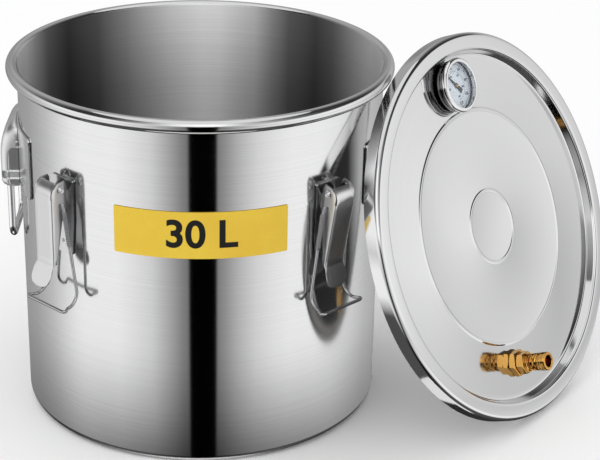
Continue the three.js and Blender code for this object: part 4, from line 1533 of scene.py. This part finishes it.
@dataclass
class DialThermometer:
    """The gauge on the lid. Heights are above the lid's panel."""

    shop: Workshop
    spot: Pair = (-6.0, 140.4)
    panel: float = -9.6
    bezel: float = 26.0
    case: float = 24.4
    height: float = 14.5
    probe: float = 47.0
    pointer_turn: float = 131.8
    pointer_tip: float = 19.0
    pointer_tail: float = 9.1
    scale_start: float = 185.0
    scale_sweep: float = -270.0
    dial_top: float = 7.2
    marks: tuple[tuple[int, float, float, float], ...] = (
        (61, 20.9, 1.5, 0.28), (13, 20.5, 2.4, 0.5), (49, 13.6, 1.1, 0.24), (9, 13.4, 1.7, 0.42),
    )
    numbers: tuple[tuple[tuple[int, ...], float, float], ...] = (
        (tuple(range(0, 121, 20)), 17.2, 4.0), (tuple(range(50, 251, 50)), 10.6, 2.8),
    )

    def place(self, turn: float = 0.0) -> Matrix:
        """The move from the gauge's own axes to the lid."""
        return self.shop.lid.matrix((*self.spot, self.panel), turn)

    def _barrel(self) -> None:
        """The case with its stepped barrel, and the rolled bezel in front."""
        body, front = self.case, self.height - 5.4
        cup: Outline = [
            (0, 2), (body - 4, 2), (body - 1.6, 2.3), (body - 0.4, 3.1), (body, 4.4), (body, 5.4),
            (body - 0.7, 5.8), (body - 0.7, 7.4), (body - 0.1, 7.8), (body, front), (body - 1.2, front),
            (body - 1.2, 4), (0, 4),
        ]
        place = self.place()
        self.shop.turn_for_lid("dial_case", cup, "dark_polish", place, "gauge_case", 96, False)
        rim, top = self.bezel, self.height
        ring = softened([
            (rim - 1.4, front + AIR), (rim, front + 1.4), (rim, top - 1.4), (rim - 1.6, top),
            (rim - 4.2, top), (rim - 4.2, top - 1), (rim - 3, top - 1.3), (rim - 3, front + AIR),
        ], 0.5)
        self.shop.turn_for_lid("dial_bezel", ring, "polished_steel", place, "gauge_bezel", 128)

    def _lens(self) -> None:
        """The flat clear lens behind the bezel's lip."""
        r, top = self.bezel - 3 - AIR, self.height
        disc: Outline = [
            (0, top - 3), (r - 0.3, top - 3), (r, top - 2.7), (r, top - 1.8), (r - 0.3, top - 1.5),
            (0, top - 1.5),
        ]
        self.shop.turn_for_lid("dial_lens", disc, "lens_glass", self.place(), "gauge_lens", 96, False)

    def _face(self) -> None:
        """The printed dial: a disc, two rings of marks and two rings of numbers."""
        r = self.case - 1.2 - AIR
        disc: Outline = [(1.6, 6.2), (r, 6.2), (r, self.dial_top), (1.6, self.dial_top)]
        self.shop.turn_for_lid("dial_disc", disc, "dial_face", self.place(), "gauge_dial", 96)

        start, sweep = math.radians(self.scale_start), math.radians(self.scale_sweep)
        ink = self.shop.material("dial_ink")
        printed = []
        for count, radius, length, width in self.marks:
            printed.append(self.shop.ticks.run("marks", [(0, 0, 0)], False, {
                "Count": count, "Radius": radius * MM, "First Angle": start, "Sweep": sweep, "Material": ink,
                "Mark Length": length * MM, "Mark Width": width * MM, "Mark Height": 0.06 * MM,
            }))
        for numbers, radius, size in self.numbers:
            for i, number in enumerate(numbers):
                angle = start + sweep * i / (len(numbers) - 1)
                spot = Vector((math.cos(angle), math.sin(angle), 0)) * radius * MM
                word = lettered("number", str(number), size, 0.03, 0.07)
                printed.append(placed(word, Matrix.Translation(spot)))
        marks = joined("dial_marks", printed)
        placed(marks, self.place() @ Matrix.Translation((0, 0, (self.dial_top + 0.04) * MM)))
        self.shop.install(tidied(marks), "dial_ink", "lid")

    def _pointer(self) -> None:
        """The pointer: a slim tapering blade with a broad tail, and a spindle with a domed brass cap."""
        outline: Outline = [
            (self.pointer_tip, 0.16), *arc((0, 0), (2.5, 2.5), 30, 150, 8), (-4.2, 1.9),
            (-self.pointer_tail, 2.4), (-self.pointer_tail, -2.4), (-4.2, -1.9),
            *arc((0, 0), (2.5, 2.5), 210, 330, 8), (self.pointer_tip, -0.16),
        ]
        blade = raised("blade", outline, 7.8, 8.4, 0.1, 1)
        spindle = self.shop.lathe("spindle", [(0, 5), (1.2, 5), (1.2, 8.0), (0, 8.0)], "pointer_paint", 24)
        needle = joined("dial_pointer", [blade, spindle])
        placed(needle, self.place(self.pointer_turn))
        self.shop.install(tidied(needle), "pointer_paint", "gauge_pointer", "gauge_pointer")
        dome: Outline = [(0, 8.35), (1.5, 8.35), *arc((0, 8.4), (1.5, 0.75), 0, 90, 6)]
        cap = self.shop.lathe("dial_cap", dome, "brass", 32)
        placed(cap, self.place())
        self.shop.install(tidied(cap), "brass", "gauge_pointer")

    def _stem(self) -> None:
        """The threaded stem with its probe, the washer and the nut behind the lid."""
        hub = raised("hub", softened(hex_outline(11), 0.6), 1.4, 2 - AIR, 0.1, 1)
        shank: Outline = [
            (0, -self.probe), (1.6, -self.probe), (2.6, -self.probe + 0.4), (3, -self.probe + 1.4),
            (3, -11.6), (4.6, -11), (6, -10.4), (6, 1.6), (0, 1.6),
        ]
        tube = self.shop.lathe("tube", shank, "polished_steel", 48)
        stem = placed(joined("dial_stem", [tube, hub]), self.place())
        self.shop.install(tidied(stem), "polished_steel", "lid", "gauge_stem")
        nut = placed(self.shop.nut("dial_back_nut", 17, -7, -1.3, 6 + AIR), self.place())
        self.shop.install(tidied(nut, 28), "brass", "lid", "gauge_back_nut")
        section = softened([(6 + AIR, AIR), (11, AIR), (11, 1.1), (6 + AIR, 1.1)], 0.25)
        self.shop.turn_for_lid("dial_washer", section, "silicone", self.place(), "gauge_seal")

    def build(self) -> None:
        """Makes the case, lens, dial, pointer and stem."""
        self._barrel()
        self._lens()
        self._face()
        self._pointer()
        self._stem()


# ------------------------------------------------------------------ studio


@dataclass
class Studio:
    """A pale floor, a white surround that only glossy metal sees, soft light and the camera."""

    camera_place: Point = (0.06926, -1.58636, 0.86450)
    camera_aim: Point = (0.01496, 0.91373, -0.40602)
    camera_roll: float = 0.0211
    lens: float = 107.49
    surround_radius: float = 2.4
    surround_heights: Pair = (-8.0, 4.0)
    low_tones: tuple[Pair, ...] = (
        (-180, 0.30), (-155, 0.36), (-132, 0.46), (-119, 0.57), (-108, 0.70), (-99, 0.86), (-91.5, 1.0),
        (-84, 1.12), (-77, 1.175), (-53, 1.175), (-42, 1.05), (-31, 0.885), (-21.5, 0.595), (-12, 0.316),
        (-7.9, 0.24), (-7.2, 0.0), (8.5, 0.0), (9.4, 0.29), (13.7, 0.378), (23.6, 0.67), (33.9, 0.92),
        (44.5, 1.076), (55.8, 1.175), (76, 1.175), (90, 1.11), (98, 1.02), (107, 0.90), (117, 0.78),
        (130, 0.636), (150, 0.50), (180, 0.30),
    )
    high_tones: tuple[Pair, ...] = (
        (-180, 0.5), (-143, 0.45), (-115, 0.2), (-96, 0.06), (-81, 0.03), (-58, 0.08), (-45, 0.25),
        (-33, 0.55), (-15, 1.2), (0, 1.5), (8, 1.5), (27, 0.75), (59, 0.2), (80, 0.07), (109, 0.03),
        (129, 0.08), (150, 0.3), (160, 0.4), (180, 0.5),
    )
    dip_heights: tuple[float, ...] = (-0.45, -0.10, 0.28)
    dip_depth: float = 0.30
    change_heights: Pair = (1.0, 1.3)
    pit_heights: Pair = (-1.7, -1.1)
    pit_tone: float = 0.08

    def _camera(self) -> None:
        """Sets the camera."""
        data = bpy.data.cameras.new("camera")
        data.lens, data.sensor_width, data.clip_start, data.clip_end = self.lens, 36.0, 0.05, 60.0
        camera = bpy.data.objects.new("camera", data)
        bpy.context.scene.collection.objects.link(camera)
        forward = Vector(self.camera_aim).normalized()
        side = forward.cross(Vector((0, 0, 1))).normalized()
        top = side.cross(forward)
        cosine, sine = math.cos(self.camera_roll), math.sin(self.camera_roll)
        right, up = side * cosine + top * sine, top * cosine - side * sine
        turn = Matrix((right, up, -forward)).transposed().to_4x4()
        camera.matrix_world = Matrix.Translation(self.camera_place) @ turn
        bpy.context.scene.camera = camera

    def _glow(self) -> bpy.types.Material:
        """A light-giving material whose strength depends on the direction from the pot and the height."""
        made, graph, shader = new_material("surround_glow")
        made.node_tree.nodes.remove(shader)
        x, y, z = graph.split(graph.node("ShaderNodeTexCoord", None, None, "Object"))
        facing = math.atan2(self.camera_place[1], self.camera_place[0])
        ahead = x * math.cos(facing) + y * math.sin(facing)
        aside = y * math.cos(facing) - x * math.sin(facing)
        share = graph.maths("ARCTAN2", aside, ahead) / (2 * math.pi) + 0.5
        peak = max(tone for _, tone in (*self.low_tones, *self.high_tones))
        rings = []
        for tones in (self.low_tones, self.high_tones):
            stops = [(0.5 + angle / 360, (tone / peak,) * 3) for angle, tone in tones]
            rings.append(graph.node("ShaderNodeValToRGB", {"stops": stops}, {0: share}))
        under, level, over = self.dip_heights
        from_level = graph.maths("MAXIMUM", graph.ranged(z, level, under), graph.ranged(z, level, over))
        dip = 1 - (1 - from_level) * self.dip_depth
        lifted = graph.ranged(z, *self.change_heights)
        pit = graph.ranged(z, *self.pit_heights, self.pit_tone, 1.0)
        glow = graph.node("ShaderNodeEmission", None, {
            "Color": graph.mixed(lifted, *rings), "Strength": (dip * (1 - lifted) + lifted) * pit * peak,
        })
        graph.feed(made.node_tree.nodes["Material Output"], {"Surface": glow})
        return made

    def _surround(self) -> None:
        """The tall curved card that the steel reflects."""
        count, r = 96, self.surround_radius / MM
        ring = arc((0, 0), (r, r), 0, 360 * (count - 1) / count, count - 1)
        points = [(x, y, z / MM) for z in self.surround_heights for x, y in ring]
        faces = [(i, (i + 1) % count, count + (i + 1) % count, count + i) for i in range(count)]
        card = solid("surround", points, faces)
        card.data.materials.append(self._glow())
        card.visible_camera = card.visible_diffuse = card.visible_shadow = False
        card.visible_transmission = card.visible_volume_scatter = False

    def _floor(self) -> None:
        """The pale floor, which the steel doesn't mirror."""
        size = 8000.0
        corners = [(-size, -size, 0), (size, -size, 0), (size, size, 0), (-size, size, 0)]
        floor = placed(solid("floor", corners, [(0, 1, 2, 3)]), Matrix.Translation((0, 0, -0.0005)))
        material, graph, shader = new_material("floor_white")
        shader.inputs["Roughness"].default_value = 0.9
        shader.inputs["Specular IOR Level"].default_value = 0.0
        mottle = graph.noise(graph.node("ShaderNodeTexCoord", None, None, "Object"), 3.0)
        graph.feed(shader, {"Base Color": graph.mixed(mottle, (0.97, 0.97, 0.97), (0.985, 0.985, 0.985))})
        floor.data.materials.append(material)
        floor.visible_glossy = False

    def _light(self) -> None:
        """An even white sky and one broad soft lamp."""
        world = bpy.data.worlds.new("sky")
        world.use_nodes = True
        world.node_tree.nodes["Background"].inputs["Color"].default_value = (1, 1, 1, 1)
        world.node_tree.nodes["Background"].inputs["Strength"].default_value = 0.98
        bpy.context.scene.world = world
        lamp = bpy.data.lights.new("softbox", "AREA")
        lamp.shape, lamp.size, lamp.size_y, lamp.energy = "RECTANGLE", 1.6, 1.2, 6.0
        box = bpy.data.objects.new("softbox", lamp)
        bpy.context.scene.collection.objects.link(box)
        box.location = (-0.9, -1.2, 2.2)
        box.rotation_euler = (Vector((0.1, 0, 0.1)) - box.location).to_track_quat("-Z", "Y").to_euler()
        box.visible_glossy = False

    def build(self) -> None:
        """Sets the camera, the surround, the floor and the light."""
        self._camera()
        self._surround()
        self._floor()
        self._light()
        bpy.context.scene.view_settings.view_transform = "Standard"


# ------------------------------------------------------------------ the whole object


GAUGE_HINGE_ON_LID: Point = (-6.0, 140.4, -1.6)


def latches(shop: Workshop, joints: Sequence[dict]) -> list[Latch]:
    """The four latches, each placed by its own hinges.

    Args:
        shop: Recipes and finishes.
        joints: The frame's joints.

    Returns:
        The latches, not yet built.
    """
    hinges = {joint["name"]: Vector(joint["pos_m"]) / MM for joint in joints if joint["type"] == "hinge"}
    made = []
    for corner in ("front_left", "front_right", "rear_right", "rear_left"):
        pivot, hole = hinges[f"lever_{corner}_pivot"], hinges[f"bail_{corner}_pivot"]
        out, hole_out = pivot.xy.length - POT_RADIUS, hole.xy.length - POT_RADIUS
        lean = math.degrees(math.atan2(out - hole_out, pivot.z - hole.z))
        drop = math.hypot(out - hole_out, pivot.z - hole.z)
        azimuth = math.degrees(math.atan2(pivot.y, pivot.x))
        made.append(Latch(shop, corner, azimuth, lean, (out, pivot.z), drop))
    return made


def main() -> None:
    """Builds every sub-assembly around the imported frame."""
    logging.basicConfig(level=logging.INFO, format="%(name)s: %(message)s")
    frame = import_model()
    shop = Workshop(LidPlace.from_frame(frame["joints"], GAUGE_HINGE_ON_LID))
    PotBody(shop).build()
    for side, azimuth in (("left", 180.0), ("right", 0.0)):
        DropHandle(shop, side, azimuth).build()
    for latch in latches(shop, frame["joints"]):
        latch.build()
    Lid(shop).build()
    HoseFitting(shop).build()
    DialThermometer(shop).build()
    Studio().build()


if __name__ == "__main__":
    main()
